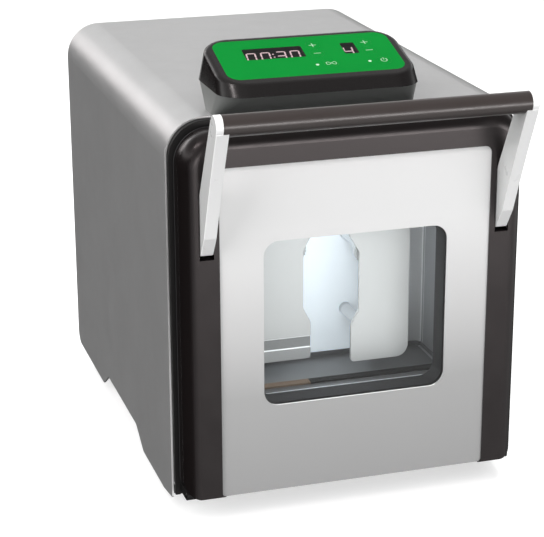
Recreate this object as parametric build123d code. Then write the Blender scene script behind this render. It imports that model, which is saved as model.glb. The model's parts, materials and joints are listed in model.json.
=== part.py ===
from build123d import *
import os
from math import cos, pi, radians, sin, tan

os.makedirs("parts", exist_ok=True)

# Paddle blender homogenizer for 400 mL sample bags. Millimetres.
# X runs across the door (0 on its centre line), Y runs back from the face of
# the door plate, Z is height above the bench. Every piece is drawn in this
# frame, and save() then shifts it so that the origin is under the middle.

# ---------------------------------------------------------------- casing
CASE_SIDE_BORDER = 4.5
CASE_FRONT = 31.0
CASE_DEPTH = 370.4
CASE_TOP = 314.8
FOLD_RADIUS = 29.5
SHEET = 1.5
SIDE_LOW_EDGE = 6.0
SIDE_RECESS_TOP = 20.2
RECESS_FRONT = 130.0
RECESS_FRONT_TOP = 156.0
RECESS_REAR_TOP = 265.0
RECESS_REAR = 287.0
FRONT_RAMP_LENGTH = 27.0
FRONT_RAMP_RISE = 4.0
FRONT_TIP_RADIUS = 2.0
FRONT_RAMP_RADIUS = 20.0
RECESS_FRONT_RADIUS = 12.0
RECESS_FRONT_TOP_RADIUS = 10.0
RECESS_REAR_TOP_RADIUS = 8.0
RECESS_REAR_RADIUS = 5.0
REAR_CORNER_RADIUS = 11.5
CABLE_HOLE_RADIUS = 6.0

BASE_BOTTOM = 22.0
BASE_THICKNESS = 2.0
BASE_FLANGE = 14.0
BULKHEAD_FRONT = 25.3
BULKHEAD_BOTTOM = 14.6
BULKHEAD_THICKNESS = 2.0
BULKHEAD_RETURN = 14.0
REAR_PANEL_INSET = 5.0
REAR_PANEL_THICKNESS = 1.5
REAR_FLANGE = 12.0
VENT_COUNT = 7
VENT_LENGTH = 60.0
VENT_WIDTH = 4.0
VENT_PITCH = 10.0
VENT_FIRST_Z = 190.0

FOOT_RADIUS = 15.0
FOOT_CHAMFER = 1.5
FOOT_EDGE_GAP = 2.0
FRONT_FOOT_Y = 68.5
REAR_FOOT_Y = 342.0
FOOT_BORE_RADIUS = 6.0
FOOT_BORE_DEPTH = 9.0
FOOT_SCREW_RADIUS = 2.5
FOOT_SCREW_HEAD_RADIUS = 5.0
FOOT_SCREW_HEAD = 3.5
CLINCH_NUT_RADIUS = 4.6
CLINCH_NUT = 4.0

# ---------------------------------------------------------------- door
DOOR_SIDE_BORDER = 13.3
DOOR_BOTTOM = 20.3
DOOR_TOP = 309.0
DOOR_CORNER_RADIUS = 26.0
DOOR_FOOT_RADIUS = 12.0
DOOR_EDGE_RADIUS = 12.0
DOOR_RIM = 1.5
DOOR_REAR = 23.0
DOOR_WALL = 4.0
DOOR_SKIN_REAR = 7.5
INNER_PANEL = 2.0
PLATE_SIDE_BORDER = 27.8
PLATE_TOP = 283.1
PLATE_THICKNESS = 1.5
PLATE_CORNER_RADIUS = 6.0
PLATE_FOOT_RADIUS = 3.0
WINDOW_WIDTH = 147.0
WINDOW_BOTTOM = 91.3
WINDOW_TOP = 223.5
WINDOW_CORNER_RADIUS = 12.0
PANE_OVERLAP = 8.0
PANE_THICKNESS = 3.0
GASKET_THICKNESS = 1.0
SEAL_WIDTH = 7.0
SEAL_GAP = 0.4
SEAL_MARGIN = 3.0

HINGE_Y = 10.0
HINGE_Z = 20.5
KNUCKLE_RADIUS = 3.8
HINGE_PIN_RADIUS = 2.0
HINGE_NOTCH_GAP = 0.6
HINGE_SIDE_BORDER = 4.5
RUNNING_GAP = 0.05
SIDE_GAP = 0.5
LEAF_LENGTH = 12.0
LEAF_THICKNESS = 5.0
LEAF_HEIGHT = 42.0
BRACKET_LENGTH = 13.5
BRACKET_REACH = 64.0

# ---------------------------------------------------------------- handle
BAR_RADIUS = 8.2
BAR_Y = -42.0
BAR_Z = 325.6
BAR_WALL = 3.0
ARM_SIDE_BORDER = 27.2
ARM_THICKNESS = 9.5
ARM_CAP = 5.4
ARM_SADDLE = 3.6
ARM_CAP_RADIUS = 8.3
ARM_FRONT_TOP = (-49.4, 321.0)
ARM_FRONT_MIDDLE = (-29.4, 276.8)
ARM_FRONT_LOW = (-11.7, 233.7)
ARM_FRONT_FOOT = (-1.0, 217.6)
ARM_REAR_TOP = (-33.9, 329.0)
ARM_REAR_LOW = (12.7, 240.0)
PIVOT_Y = 8.5
PIVOT_Z = 228.0
PIVOT_PIN_RADIUS = 3.0
PIVOT_BUSH_RADIUS = 5.0
PIVOT_BOSS_RADIUS = 10.0
NOSE_Y = 18.5
NOSE_Z = 216.0
ARM_SLOT_GAP = 0.8
ARM_SLOT_TOP = 269.5
ARM_SLOT_BOTTOM = 214.0
SLOT_WALL = 4.5
NOSE_WINDOW_TOP = 238.0
MAGNET_RADIUS = 6.0
MAGNET_LENGTH = 8.0
MAGNET_Z = 286.0
MAGNET_BOSS_WALL = 2.5
CATCH_WIDTH = 17.0
CATCH_BOTTOM = 208.0
CATCH_TOP = 296.0
CATCH_THICKNESS = 1.6

# ---------------------------------------------------------------- chamber
CHAMBER_WIDTH = 190.0
CHAMBER_FLOOR = 84.0
CHAMBER_TOP_BORDER = 23.8
CHAMBER_REAR = 103.5
LINER_SHEET = 1.2
LINER_FLANGE = 6.0
LINER_CORNER_RADIUS = 6.0
TRAY_GAP = 1.5
TRAY_FRONT = 29.0
TRAY_THICKNESS = 1.0
TRAY_LIP = 5.0
TRAY_HOLE_MARGIN = 10.0
TRAY_HOLE_RADIUS = 1.1
TRAY_HOLE_PITCH = 5.0
TRAY_HOLE_Y = 57.0
TRAY_SEAL_FRONT = 46.5
TRAY_SEAL_DEPTH = 8.0
TRAY_SEAL_HEIGHT = 1.6

# ---------------------------------------------------------------- paddles
PADDLE_FRONT = 50.0
PADDLE_THICKNESS = 3.0
PADDLE_BOTTOM = 98.5
PADDLE_TOP = 262.0
PADDLE_OUTER_X = 62.6
PADDLE_LOW_INNER_X = 14.0
PADDLE_MIDDLE_INNER_X = 20.3
PADDLE_HIGH_INNER_X = 11.6
PADDLE_LOW_STEP = (129.5, 142.0)
PADDLE_HIGH_STEP = (190.5, 205.5)
PADDLE_CORNER_RADIUS = 10.0
PADDLE_INNER_CORNER_RADIUS = 3.0
STEP_RADIUS = 5.0
BEND_BOTTOM = 108.3
BEND_TOP = 117.6
BEND_DEPTH = 0.9
CRANK_RADIUS = 9.0
ROD_X = 28.0
ROD_SPACING = 66.0
ROD_RADIUS = 5.0
COLLAR_RADIUS = 11.0
COLLAR_LENGTH = 6.0
KNURL_COUNT = 24
KNURL_RADIUS = 0.7

# ---------------------------------------------------------------- drive
CRANK_Y = 190.0
CRANK_Z = 157.0
CRANK_PIN_RADIUS = 5.0
CRANK_PIN_LENGTH = 14.0
SHAFT_RADIUS = 8.0
WEB_THICKNESS = 6.0
WEB_RADIUS = 10.0
ROLLER_RADIUS = 13.0
ROLLER_WIDTH = 9.0
YOKE_PLAY = 2.2
YOKE_WALL = 7.0
YOKE_WIDTH = 10.0
YOKE_END = 18.0
YOKE_SLOT_PLAY = 1.0
WIPER_RADIUS = 9.0
WIPER_LENGTH = 4.0
WIPER_GAP = 0.3
LINER_ROD_GAP = 1.0
GUIDE_FRONT = 112.0
GUIDE_LENGTH = 24.0
GUIDE_MARGIN = 14.0
BUSH_RADIUS = 8.0
BUSH_OVERHANG = 1.5
FRAME_PLATE_X = 56.0
FRAME_PLATE = 8.0
FRAME_REAR = 222.0
FRAME_TOP = 204.0
FRAME_FOOT = 4.0
FRAME_WINDOW_MARGIN = 14.0
BEARING_RADIUS = 16.0
CRANK_PULLEY_RADIUS = 40.0
MOTOR_PULLEY_RADIUS = 20.0
PULLEY_INNER_X = 70.0
PULLEY_WIDTH = 14.0
PULLEY_FLANGE = 1.5
PULLEY_RIM = 4.0
BELT_GAP = 0.4
BELT_THICKNESS = 2.4
BELT_SIDE_GAP = 0.6
MOTOR_Y = 305.0
MOTOR_Z = 96.0
MOTOR_RADIUS = 44.0
MOTOR_LENGTH = 112.0
MOTOR_FACE_X = 58.0
MOTOR_SHAFT_RADIUS = 6.0
MOTOR_SHAFT_DEPTH = 40.0
MOTOR_BOSS_RADIUS = 18.0
MOTOR_BOSS = 4.0
MOTOR_BRACKET_THICKNESS = 5.0
MOTOR_BRACKET_MARGIN = 10.0
MOTOR_FIN_COUNT = 20
MOTOR_FIN = 3.0

# ---------------------------------------------------------------- console
CONSOLE_X = -23.0
WAIST_FLARE = 1.7
WAIST_FRONT = 6.5
WAIST_DEPTH = 87.0
WAIST_Z = 332.0
WAIST_CORNER_RADIUS = 21.0
BEZEL_SIDE_BORDER = 7.2
BEZEL_FRONT_BORDER = 6.5
BEZEL_REAR_BORDER = 5.9
BEZEL_CORNER_RADIUS = 21.0
BEZEL_EDGE_RADIUS = 4.0
LABEL_WIDTH = 139.0
LABEL_DEPTH = 58.1
LABEL_CORNER_RADIUS = 10.0
LABEL_FRONT = 20.0
LABEL_FRONT_Z = 342.5
LABEL_TILT = 16.9
LABEL_THICKNESS = 0.8
HEAD_WALL = 3.0
NECK_FLARE = 1.6
NECK_DEPTH = 24.0
NECK_CORNER_RADIUS = 6.0
NECK_INSET = 0.6
TIME_WINDOW_INSET = 21.0
TIME_WINDOW_WIDTH = 46.5
SPEED_WINDOW_INSET = 29.2
SPEED_WINDOW_WIDTH = 11.2
DISPLAY_LOW = 27.9
DISPLAY_HEIGHT = 16.7
DISPLAY_CORNER_RADIUS = 1.5
KEY_RADIUS = 5.5
KEY_GAP = 0.08
KEY_STEM_RADIUS = 2.5
KEY_STEM = 2.6
KEY_TRAVEL = 0.4
KEY_END_GAP = 0.4
KEY_DOME_RADIUS = 2.5
LED_RADIUS = 0.9
LED_LEFT_INSET = 71.9
LED_RIGHT_INSET = 25.7
LED_ROW = 14.4
BOARD_DEPTH = 8.0
BOARD_THICKNESS = 1.6
BOARD_MARGIN = 6.0
POST_RADIUS = 2.5
POST_MARGIN = 3.0
# Each key's centre: inset from the label's left or right edge, then up the slope.
LEFT_KEYS = {
    "key_time_plus": (77.1, 44.2),
    "key_time_minus": (77.1, 31.6),
    "key_continuous": (83.0, 15.4),
}
RIGHT_KEYS = {
    "key_speed_plus": (20.5, 43.6),
    "key_speed_minus": (20.5, 31.2),
    "key_power": (14.3, 14.8),
}

# ---------------------------------------------------------------- rear fittings
INLET_X = -84.0
INLET_Z = 62.0
INLET_WIDTH = 28.0
INLET_HEIGHT = 20.0
INLET_FLANGE_WIDTH = 50.0
INLET_FLANGE_HEIGHT = 24.0
INLET_FLANGE = 2.2
INLET_DEPTH = 26.0
SOCKET_WIDTH = 24.4
SOCKET_HEIGHT = 16.6
SOCKET_DEPTH = 17.0
SOCKET_CHAMFER = 3.5
CONTACT_WIDTH = 4.0
CONTACT_THICKNESS = 2.0
CONTACT_PITCH = 7.0
CONTACT_STANDOFF = 2.0
SWITCH_X = -40.0
SWITCH_WIDTH = 15.0
SWITCH_HEIGHT = 22.0
SWITCH_FLANGE = 2.0
SWITCH_RIM = 2.5
SWITCH_DEPTH = 20.0
ROCKER_GAP = 0.4
ROCKER_TILT = 7.0
ROCKER_THICKNESS = 8.0
ROCKER_PIN_RADIUS = 1.5
SCREW_RADIUS = 2.0
SCREW_HEAD_RADIUS = 3.8
SCREW_HEAD = 2.2
CONTROL_BOARD_MARGIN = 8.5
CONTROL_BOARD_Y = 250.0
CONTROL_BOARD_WIDTH = 64.0
CONTROL_BOARD_LENGTH = 110.0
CONTROL_BOARD_LIFT = 12.0
TRANSFORMER_WIDTH = 36.0
TRANSFORMER_HEIGHT = 28.0
HEAT_SINK_WIDTH = 20.0
HEAT_SINK_DEPTH = 12.0
HEAT_SINK_HEIGHT = 16.0
CAPACITOR_COUNT = 3
CAPACITOR_RADIUS = 6.0
CAPACITOR_HEIGHT = 22.0
CAPACITOR_PITCH = 15.0
BOARD_PART_MARGIN = 8.0
SENSOR_SIDE_BORDER = 11.0
SENSOR_Z = 150.0
SENSOR_RADIUS = 3.0
SENSOR_LENGTH = 12.0
FLAG_RADIUS = 3.0
FLAG_LENGTH = 3.0

# ---------------------------------------------------------------- derived places
CHAMBER_HALF = CHAMBER_WIDTH / 2
CHAMBER_TOP = CASE_TOP - CHAMBER_TOP_BORDER
ARM_OUTER_X = CHAMBER_HALF + ARM_SIDE_BORDER
DOOR_HALF = ARM_OUTER_X + DOOR_SIDE_BORDER
CASE_HALF = DOOR_HALF + CASE_SIDE_BORDER
CASE_REAR = CASE_FRONT + CASE_DEPTH
INNER_HALF = CASE_HALF - SHEET
INNER_TOP = CASE_TOP - SHEET
INNER_FOLD = FOLD_RADIUS - SHEET
BASE_TOP = BASE_BOTTOM + BASE_THICKNESS
BULKHEAD_REAR = BULKHEAD_FRONT + BULKHEAD_THICKNESS
RETURN_REAR = BULKHEAD_FRONT + BULKHEAD_RETURN
PANEL_REAR = CASE_REAR - REAR_PANEL_INSET
PANEL_FRONT = PANEL_REAR - REAR_PANEL_THICKNESS
FOOT_X = CASE_HALF - FOOT_EDGE_GAP - FOOT_RADIUS
DOOR_FRONT = -DOOR_RIM
INNER_PANEL_FRONT = DOOR_REAR - INNER_PANEL
WINDOW_HALF = WINDOW_WIDTH / 2
PLATE_HALF = DOOR_HALF - PLATE_SIDE_BORDER
BRACKET_OUTER_X = INNER_HALF - HINGE_SIDE_BORDER
BRACKET_INNER_X = BRACKET_OUTER_X - BRACKET_LENGTH
LEAF_OUTER_X = BRACKET_INNER_X - SIDE_GAP
LEAF_INNER_X = LEAF_OUTER_X - LEAF_LENGTH
ARM_INNER_X = ARM_OUTER_X - ARM_THICKNESS
CAP_INNER_X = ARM_OUTER_X - ARM_CAP
ARM_CENTRE_X = ARM_OUTER_X - ARM_THICKNESS / 2
SLOT_INNER_X = ARM_INNER_X - ARM_SLOT_GAP
SLOT_OUTER_X = ARM_OUTER_X + ARM_SLOT_GAP
CATCH_FRONT = BULKHEAD_FRONT - CATCH_THICKNESS
SENSOR_X = CHAMBER_HALF + SENSOR_SIDE_BORDER
LINER_HALF = CHAMBER_HALF + LINER_SHEET
LINER_REAR = CHAMBER_REAR + LINER_SHEET
ROD_HEIGHTS = (CRANK_Z - ROD_SPACING / 2, CRANK_Z + ROD_SPACING / 2)
STROKE = 2 * CRANK_RADIUS
YOKE_HALF_DEPTH = ROLLER_RADIUS + YOKE_PLAY + YOKE_WALL
SLOT_HALF_HEIGHT = CRANK_RADIUS + ROLLER_RADIUS + YOKE_SLOT_PLAY
YOKE_HALF_HEIGHT = SLOT_HALF_HEIGHT + YOKE_END
FRAME_PLATE_OUT = FRAME_PLATE_X + FRAME_PLATE
LABEL_HALF = LABEL_WIDTH / 2
BEZEL_WIDTH = LABEL_WIDTH + 2 * BEZEL_SIDE_BORDER
BEZEL_DEPTH = LABEL_DEPTH + BEZEL_FRONT_BORDER + BEZEL_REAR_BORDER
BEZEL_MIDDLE = (LABEL_DEPTH + BEZEL_REAR_BORDER - BEZEL_FRONT_BORDER) / 2
WAIST_WIDTH = BEZEL_WIDTH + 2 * WAIST_FLARE
NECK_WIDTH = WAIST_WIDTH + 2 * NECK_FLARE
NECK_FRONT = CASE_FRONT
TIME_WINDOW_LEFT = TIME_WINDOW_INSET - LABEL_HALF
SPEED_WINDOW_LEFT = LABEL_HALF - SPEED_WINDOW_INSET - SPEED_WINDOW_WIDTH
LED_PLACES = (LED_LEFT_INSET - LABEL_HALF, LABEL_HALF - LED_RIGHT_INSET)
KEYS = {name: (inset - LABEL_HALF, along) for name, (inset, along) in LEFT_KEYS.items()}
KEYS.update({name: (LABEL_HALF - inset, along) for name, (inset, along) in RIGHT_KEYS.items()})
CONTROL_BOARD_X = CONTROL_BOARD_MARGIN + CONTROL_BOARD_WIDTH / 2 - INNER_HALF
HANDLE_FRONT = BAR_Y - max(BAR_RADIUS, ARM_CAP_RADIUS)
ORIGIN_Y = (HANDLE_FRONT + CASE_REAR) / 2


# ---------------------------------------------------------------- helpers
def save(name, *solids):
    """Write one node, moved to the shared origin, with its solids kept separate."""
    placed = [Pos(0, -ORIGIN_Y, 0) * solid for shape in solids for solid in shape.solids()]
    export_step(Compound(children=placed), f"parts/{name}.step")


def block(x0, x1, y0, y1, z0, z1):
    return Pos((x0 + x1) / 2, (y0 + y1) / 2, (z0 + z1) / 2) * Box(x1 - x0, y1 - y0, z1 - z0)


def bar_x(radius, x0, x1, y, z):
    return Pos((x0 + x1) / 2, y, z) * Rot(0, 90, 0) * Cylinder(radius, x1 - x0)


def bar_y(radius, y0, y1, x, z):
    return Pos(x, (y0 + y1) / 2, z) * Rot(90, 0, 0) * Cylinder(radius, y1 - y0)


def bar_z(radius, z0, z1, x, y):
    return Pos(x, y, (z0 + z1) / 2) * Cylinder(radius, z1 - z0)


def prism_y(face, y0, y1):
    """Extrude a face drawn as (x, z) between two depths."""
    return extrude(Plane.XZ.offset(-y1) * face, y1 - y0)


def prism_x(face, x0, x1):
    """Extrude a face drawn as (y, z) between two places across the width."""
    return extrude(Plane.YZ.offset(x0) * face, x1 - x0)


def outline(points, radii):
    """A closed straight-sided face with one corner radius for each point."""
    return make_face(FilletPolyline(*points, radius=radii, close=True))


def panel(half_width, low, high, low_radius, high_radius, centre=0.0):
    """An upright panel, drawn as (x, z), with its own radii below and above."""
    left, right = centre - half_width, centre + half_width
    corners = [(left, low), (right, low), (right, high), (left, high)]
    return outline(corners, [low_radius, low_radius, high_radius, high_radius])


def both_sides(piece):
    """The piece and its mirror image across the centre line."""
    return [piece, mirror(piece, Plane.YZ)]


# ---------------------------------------------------------------- casing pieces
def side_profile():
    """The side of the cover: feet at both ends, a finger recess between, a ramp in front."""
    above = CASE_TOP + SHEET
    ramp_start = CASE_FRONT + FRONT_RAMP_LENGTH
    points = [
        (CASE_FRONT, above),
        (CASE_FRONT, SIDE_LOW_EDGE + FRONT_RAMP_RISE),
        (ramp_start, SIDE_LOW_EDGE),
        (RECESS_FRONT, SIDE_LOW_EDGE),
        (RECESS_FRONT_TOP, SIDE_RECESS_TOP),
        (RECESS_REAR_TOP, SIDE_RECESS_TOP),
        (RECESS_REAR, SIDE_LOW_EDGE),
        (CASE_REAR, SIDE_LOW_EDGE),
        (CASE_REAR, above),
    ]
    return outline(points, [0, FRONT_TIP_RADIUS, FRONT_RAMP_RADIUS, RECESS_FRONT_RADIUS,
                            RECESS_FRONT_TOP_RADIUS, RECESS_REAR_TOP_RADIUS, RECESS_REAR_RADIUS,
                            REAR_CORNER_RADIUS, 0])


def make_casing_cover():
    outside = panel(CASE_HALF, -FOLD_RADIUS, CASE_TOP, 0, FOLD_RADIUS)
    inside = panel(INNER_HALF, -2 * FOLD_RADIUS, INNER_TOP, 0, INNER_FOLD)
    shell = prism_y(outside - inside, CASE_FRONT, CASE_REAR)
    cover = shell & prism_x(side_profile(), -CASE_HALF, CASE_HALF)
    cable_hole_y = NECK_FRONT + NECK_DEPTH / 2
    cover -= bar_z(CABLE_HOLE_RADIUS, INNER_TOP - SHEET, CASE_TOP + SHEET, CONSOLE_X, cable_hole_y)
    tab = block(INNER_HALF - REAR_FLANGE, INNER_HALF, PANEL_FRONT - SHEET, PANEL_FRONT,
                BASE_TOP, INNER_TOP - FOLD_RADIUS)
    for piece in both_sides(tab):
        cover += piece
    for x, z in rear_screw_places():
        cover -= bar_y(SCREW_RADIUS, PANEL_FRONT - SHEET - 1, PANEL_FRONT + 1, x, z)
    save("casing_cover", cover)


def foot_places():
    return [(side * FOOT_X, y) for side in (-1, 1) for y in (FRONT_FOOT_Y, REAR_FOOT_Y)]


def board_post_places():
    half_x = CONTROL_BOARD_WIDTH / 2 - POST_MARGIN
    half_y = CONTROL_BOARD_LENGTH / 2 - POST_MARGIN
    return [(CONTROL_BOARD_X + dx, CONTROL_BOARD_Y + dy)
            for dx in (-half_x, half_x) for dy in (-half_y, half_y)]


def make_base_plate():
    plate = block(-INNER_HALF, INNER_HALF, BULKHEAD_REAR, PANEL_FRONT, BASE_BOTTOM, BASE_TOP)
    flange_x = INNER_HALF - BASE_THICKNESS
    flange_front = RETURN_REAR + BASE_THICKNESS
    flange_rear = PANEL_FRONT - REAR_FLANGE - BASE_THICKNESS
    for piece in both_sides(
        block(flange_x, INNER_HALF, flange_front, flange_rear, BASE_TOP, BASE_TOP + BASE_FLANGE)
    ):
        plate += piece
    for x, y in foot_places():
        plate += Pos(x, y, BASE_TOP) * extrude(RegularPolygon(CLINCH_NUT_RADIUS, 6), CLINCH_NUT)
        plate -= bar_z(FOOT_SCREW_RADIUS, BASE_BOTTOM - 1, BASE_TOP + CLINCH_NUT + 1, x, y)
    for x, y in board_post_places():
        plate += bar_z(POST_RADIUS, BASE_TOP, BASE_TOP + CONTROL_BOARD_LIFT, x, y)
    save("base_plate", plate)


def make_front_bulkhead():
    sheet = panel(INNER_HALF, BULKHEAD_BOTTOM, INNER_TOP, 0, INNER_FOLD)
    opening = panel(
        LINER_HALF, CHAMBER_FLOOR - LINER_SHEET, CHAMBER_TOP + LINER_SHEET,
        LINER_CORNER_RADIUS + LINER_SHEET, LINER_CORNER_RADIUS + LINER_SHEET,
    )
    bulkhead = prism_y(sheet - opening, BULKHEAD_FRONT, BULKHEAD_REAR)
    wall_outside = panel(INNER_HALF, BASE_TOP, INNER_TOP, 0, INNER_FOLD)
    wall_inside = panel(INNER_HALF - BULKHEAD_THICKNESS, BASE_TOP - 1, INNER_TOP - BULKHEAD_THICKNESS,
                        0, INNER_FOLD - BULKHEAD_THICKNESS)
    bulkhead += prism_y(wall_outside - wall_inside, BULKHEAD_REAR, RETURN_REAR)
    bulkhead -= bar_y(SENSOR_RADIUS, BULKHEAD_FRONT - 1, BULKHEAD_REAR + 1, SENSOR_X, SENSOR_Z)
    bracket_notch = block(BRACKET_INNER_X - SIDE_GAP, BRACKET_OUTER_X + SIDE_GAP, BULKHEAD_FRONT - 1,
                          BULKHEAD_REAR + 1, BULKHEAD_BOTTOM - 1, BASE_BOTTOM)
    for notch in both_sides(bracket_notch):
        bulkhead -= notch
    save("front_bulkhead", bulkhead)


def rear_screw_places():
    edge = INNER_HALF - REAR_FLANGE / 2
    low = BASE_TOP + FOLD_RADIUS / 2
    high = INNER_TOP - FOLD_RADIUS - REAR_FLANGE
    return [(side * edge, z) for side in (-1, 1) for z in (low, (low + high) / 2, high)]


def make_rear_panel():
    sheet = panel(INNER_HALF, BASE_BOTTOM, INNER_TOP, 0, INNER_FOLD)
    plate = prism_y(sheet, PANEL_FRONT, PANEL_REAR)
    for index in range(VENT_COUNT):
        z = VENT_FIRST_Z + index * VENT_PITCH
        for side in (-1, 1):
            slot = panel(VENT_LENGTH / 2, z, z + VENT_WIDTH, VENT_WIDTH * 0.45, VENT_WIDTH * 0.45,
                         side * VENT_LENGTH * 0.6)
            plate -= prism_y(slot, PANEL_FRONT - 1, PANEL_REAR + 1)
    inlet_half = INLET_WIDTH / 2
    inlet_low = INLET_Z - INLET_HEIGHT / 2
    inlet_high = INLET_Z + INLET_HEIGHT / 2
    plate -= block(INLET_X - inlet_half, INLET_X + inlet_half, PANEL_FRONT - 1, PANEL_REAR + 1,
                   inlet_low, inlet_high)
    switch_low = INLET_Z - SWITCH_HEIGHT / 2
    switch_high = INLET_Z + SWITCH_HEIGHT / 2
    plate -= block(SWITCH_X - SWITCH_WIDTH / 2, SWITCH_X + SWITCH_WIDTH / 2, PANEL_FRONT - 1,
                   PANEL_REAR + 1, switch_low, switch_high)
    for x, z in rear_screw_places():
        plate -= bar_y(SCREW_RADIUS, PANEL_FRONT - 1, PANEL_REAR + 1, x, z)
    save("rear_panel", plate)


def make_rear_screws():
    screws = []
    for x, z in rear_screw_places():
        head = bar_y(SCREW_HEAD_RADIUS, PANEL_REAR, PANEL_REAR + SCREW_HEAD, x, z)
        recess = Pos(x, PANEL_REAR + SCREW_HEAD, z) * Rot(90, 0, 0) * extrude(
            RegularPolygon(SCREW_RADIUS * 0.8, 6), SCREW_HEAD * 0.6
        )
        shank = bar_y(SCREW_RADIUS, PANEL_FRONT - SHEET - SCREW_HEAD, PANEL_REAR, x, z)
        screws.append(head + shank - recess)
    save("rear_panel_screws", *screws)


def make_feet():
    feet, screws = [], []
    for x, y in foot_places():
        foot = bar_z(FOOT_RADIUS, 0, BASE_BOTTOM, x, y)
        foot = chamfer(foot.edges().sort_by(Axis.Z)[0], FOOT_CHAMFER)
        foot -= bar_z(FOOT_BORE_RADIUS, -1, FOOT_BORE_DEPTH, x, y)
        foot -= bar_z(FOOT_SCREW_RADIUS, 0, BASE_BOTTOM + 1, x, y)
        feet.append(foot)
        head_low = FOOT_BORE_DEPTH - FOOT_SCREW_HEAD
        shank_high = BASE_TOP + CLINCH_NUT + SHEET
        screws.append(
            bar_z(FOOT_SCREW_HEAD_RADIUS, head_low, FOOT_BORE_DEPTH, x, y)
            + bar_z(FOOT_SCREW_RADIUS, FOOT_BORE_DEPTH, shank_high, x, y)
        )
    save("rubber_feet", *feet)
    save("foot_screws", *screws)


# ---------------------------------------------------------------- door pieces
def door_outline(inset=0.0, foot_radius=DOOR_FOOT_RADIUS):
    return panel(DOOR_HALF - inset, DOOR_BOTTOM + inset, DOOR_TOP - inset,
                 max(foot_radius - inset, 0), DOOR_CORNER_RADIUS - inset)


def window_outline(grow=0.0):
    radius = WINDOW_CORNER_RADIUS + grow
    return panel(WINDOW_HALF + grow, WINDOW_BOTTOM - grow, WINDOW_TOP + grow, radius, radius)


def plate_outline():
    return panel(PLATE_HALF, DOOR_BOTTOM, PLATE_TOP, PLATE_FOOT_RADIUS, PLATE_CORNER_RADIUS)


def hinge_notch():
    """The room in the door's foot that its hinge and the bracket's arm turn in."""
    reach = KNUCKLE_RADIUS + HINGE_NOTCH_GAP
    return block(LEAF_INNER_X - SIDE_GAP, BRACKET_OUTER_X + SIDE_GAP, HINGE_Y - reach,
                 DOOR_REAR + 1, DOOR_BOTTOM - 1, HINGE_Z + reach)


def leaf_shape():
    """The upright of a door hinge leaf, which also shapes its slot in the door."""
    return block(LEAF_INNER_X, LEAF_OUTER_X, HINGE_Y - LEAF_THICKNESS / 2,
                 HINGE_Y + LEAF_THICKNESS / 2, HINGE_Z, HINGE_Z + LEAF_HEIGHT)


def magnet(radius, y0, y1):
    return bar_y(radius, y0, y1, ARM_CENTRE_X, MAGNET_Z)


def make_door_frame():
    body = prism_y(door_outline(foot_radius=0.0), DOOR_FRONT, INNER_PANEL_FRONT)
    rim = [edge for edge in body.edges().group_by(Axis.Y)[0] if edge.center().Z > DOOR_BOTTOM + 1]
    body = fillet(rim, DOOR_EDGE_RADIUS) & prism_y(door_outline(), DOOR_FRONT, INNER_PANEL_FRONT)
    body -= prism_y(plate_outline(), DOOR_FRONT - 1, PLATE_THICKNESS)
    pane_rear = PLATE_THICKNESS + PANE_THICKNESS + GASKET_THICKNESS
    body -= prism_y(window_outline(PANE_OVERLAP), PLATE_THICKNESS - 1, pane_rear)
    body -= prism_y(window_outline(), pane_rear - 1, DOOR_REAR)

    pocket = prism_y(door_outline(DOOR_WALL), DOOR_SKIN_REAR, DOOR_REAR)
    pocket -= prism_y(window_outline(DOOR_WALL), DOOR_SKIN_REAR - 1, DOOR_REAR + 1)
    for housing in both_sides(
        block(SLOT_INNER_X - SLOT_WALL, SLOT_OUTER_X + SLOT_WALL, DOOR_SKIN_REAR - 1,
              DOOR_REAR + 1, ARM_SLOT_BOTTOM - SLOT_WALL, ARM_SLOT_TOP + SLOT_WALL)
    ):
        pocket -= housing
    for boss in both_sides(magnet(MAGNET_RADIUS + MAGNET_BOSS_WALL, DOOR_SKIN_REAR - 1, DOOR_REAR)):
        pocket -= boss
    body -= pocket

    cuts = [
        block(SLOT_INNER_X, SLOT_OUTER_X, DOOR_FRONT - 1, DOOR_REAR, ARM_SLOT_BOTTOM, ARM_SLOT_TOP),
        magnet(MAGNET_RADIUS, INNER_PANEL_FRONT - MAGNET_LENGTH, DOOR_REAR),
        bar_x(PIVOT_BUSH_RADIUS, SLOT_INNER_X - SLOT_WALL - 1, SLOT_OUTER_X + SLOT_WALL + 1,
              PIVOT_Y, PIVOT_Z),
        leaf_shape(),
        hinge_notch(),
    ]
    for cut in cuts:
        for piece in both_sides(cut):
            body -= piece
    body -= bar_y(FLAG_RADIUS, INNER_PANEL_FRONT - FLAG_LENGTH, DOOR_REAR, SENSOR_X, SENSOR_Z)
    save("door_frame", body)


def make_door_plate():
    face = plate_outline() - window_outline()
    save("door_plate", prism_y(face, 0, PLATE_THICKNESS))


def make_door_window():
    clearance = SIDE_GAP
    pane_front = PLATE_THICKNESS
    pane_rear = pane_front + PANE_THICKNESS
    save("door_window", prism_y(window_outline(PANE_OVERLAP - clearance), pane_front, pane_rear))
    ring = window_outline(PANE_OVERLAP) - window_outline(PANE_OVERLAP / 4)
    save("window_gasket", prism_y(ring, pane_rear, pane_rear + GASKET_THICKNESS))


def make_door_inner_panel():
    plate = prism_y(door_outline() - window_outline(), INNER_PANEL_FRONT, DOOR_REAR)
    openings = [
        block(SLOT_INNER_X, SLOT_OUTER_X, INNER_PANEL_FRONT - 1, DOOR_REAR + 1,
              ARM_SLOT_BOTTOM, NOSE_WINDOW_TOP),
        magnet(MAGNET_RADIUS, INNER_PANEL_FRONT - 1, DOOR_REAR + 1),
        hinge_notch(),
    ]
    for opening in openings:
        for piece in both_sides(opening):
            plate -= piece
    plate -= bar_y(FLAG_RADIUS, INNER_PANEL_FRONT - 1, DOOR_REAR + 1, SENSOR_X, SENSOR_Z)
    save("door_inner_panel", plate)


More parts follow.
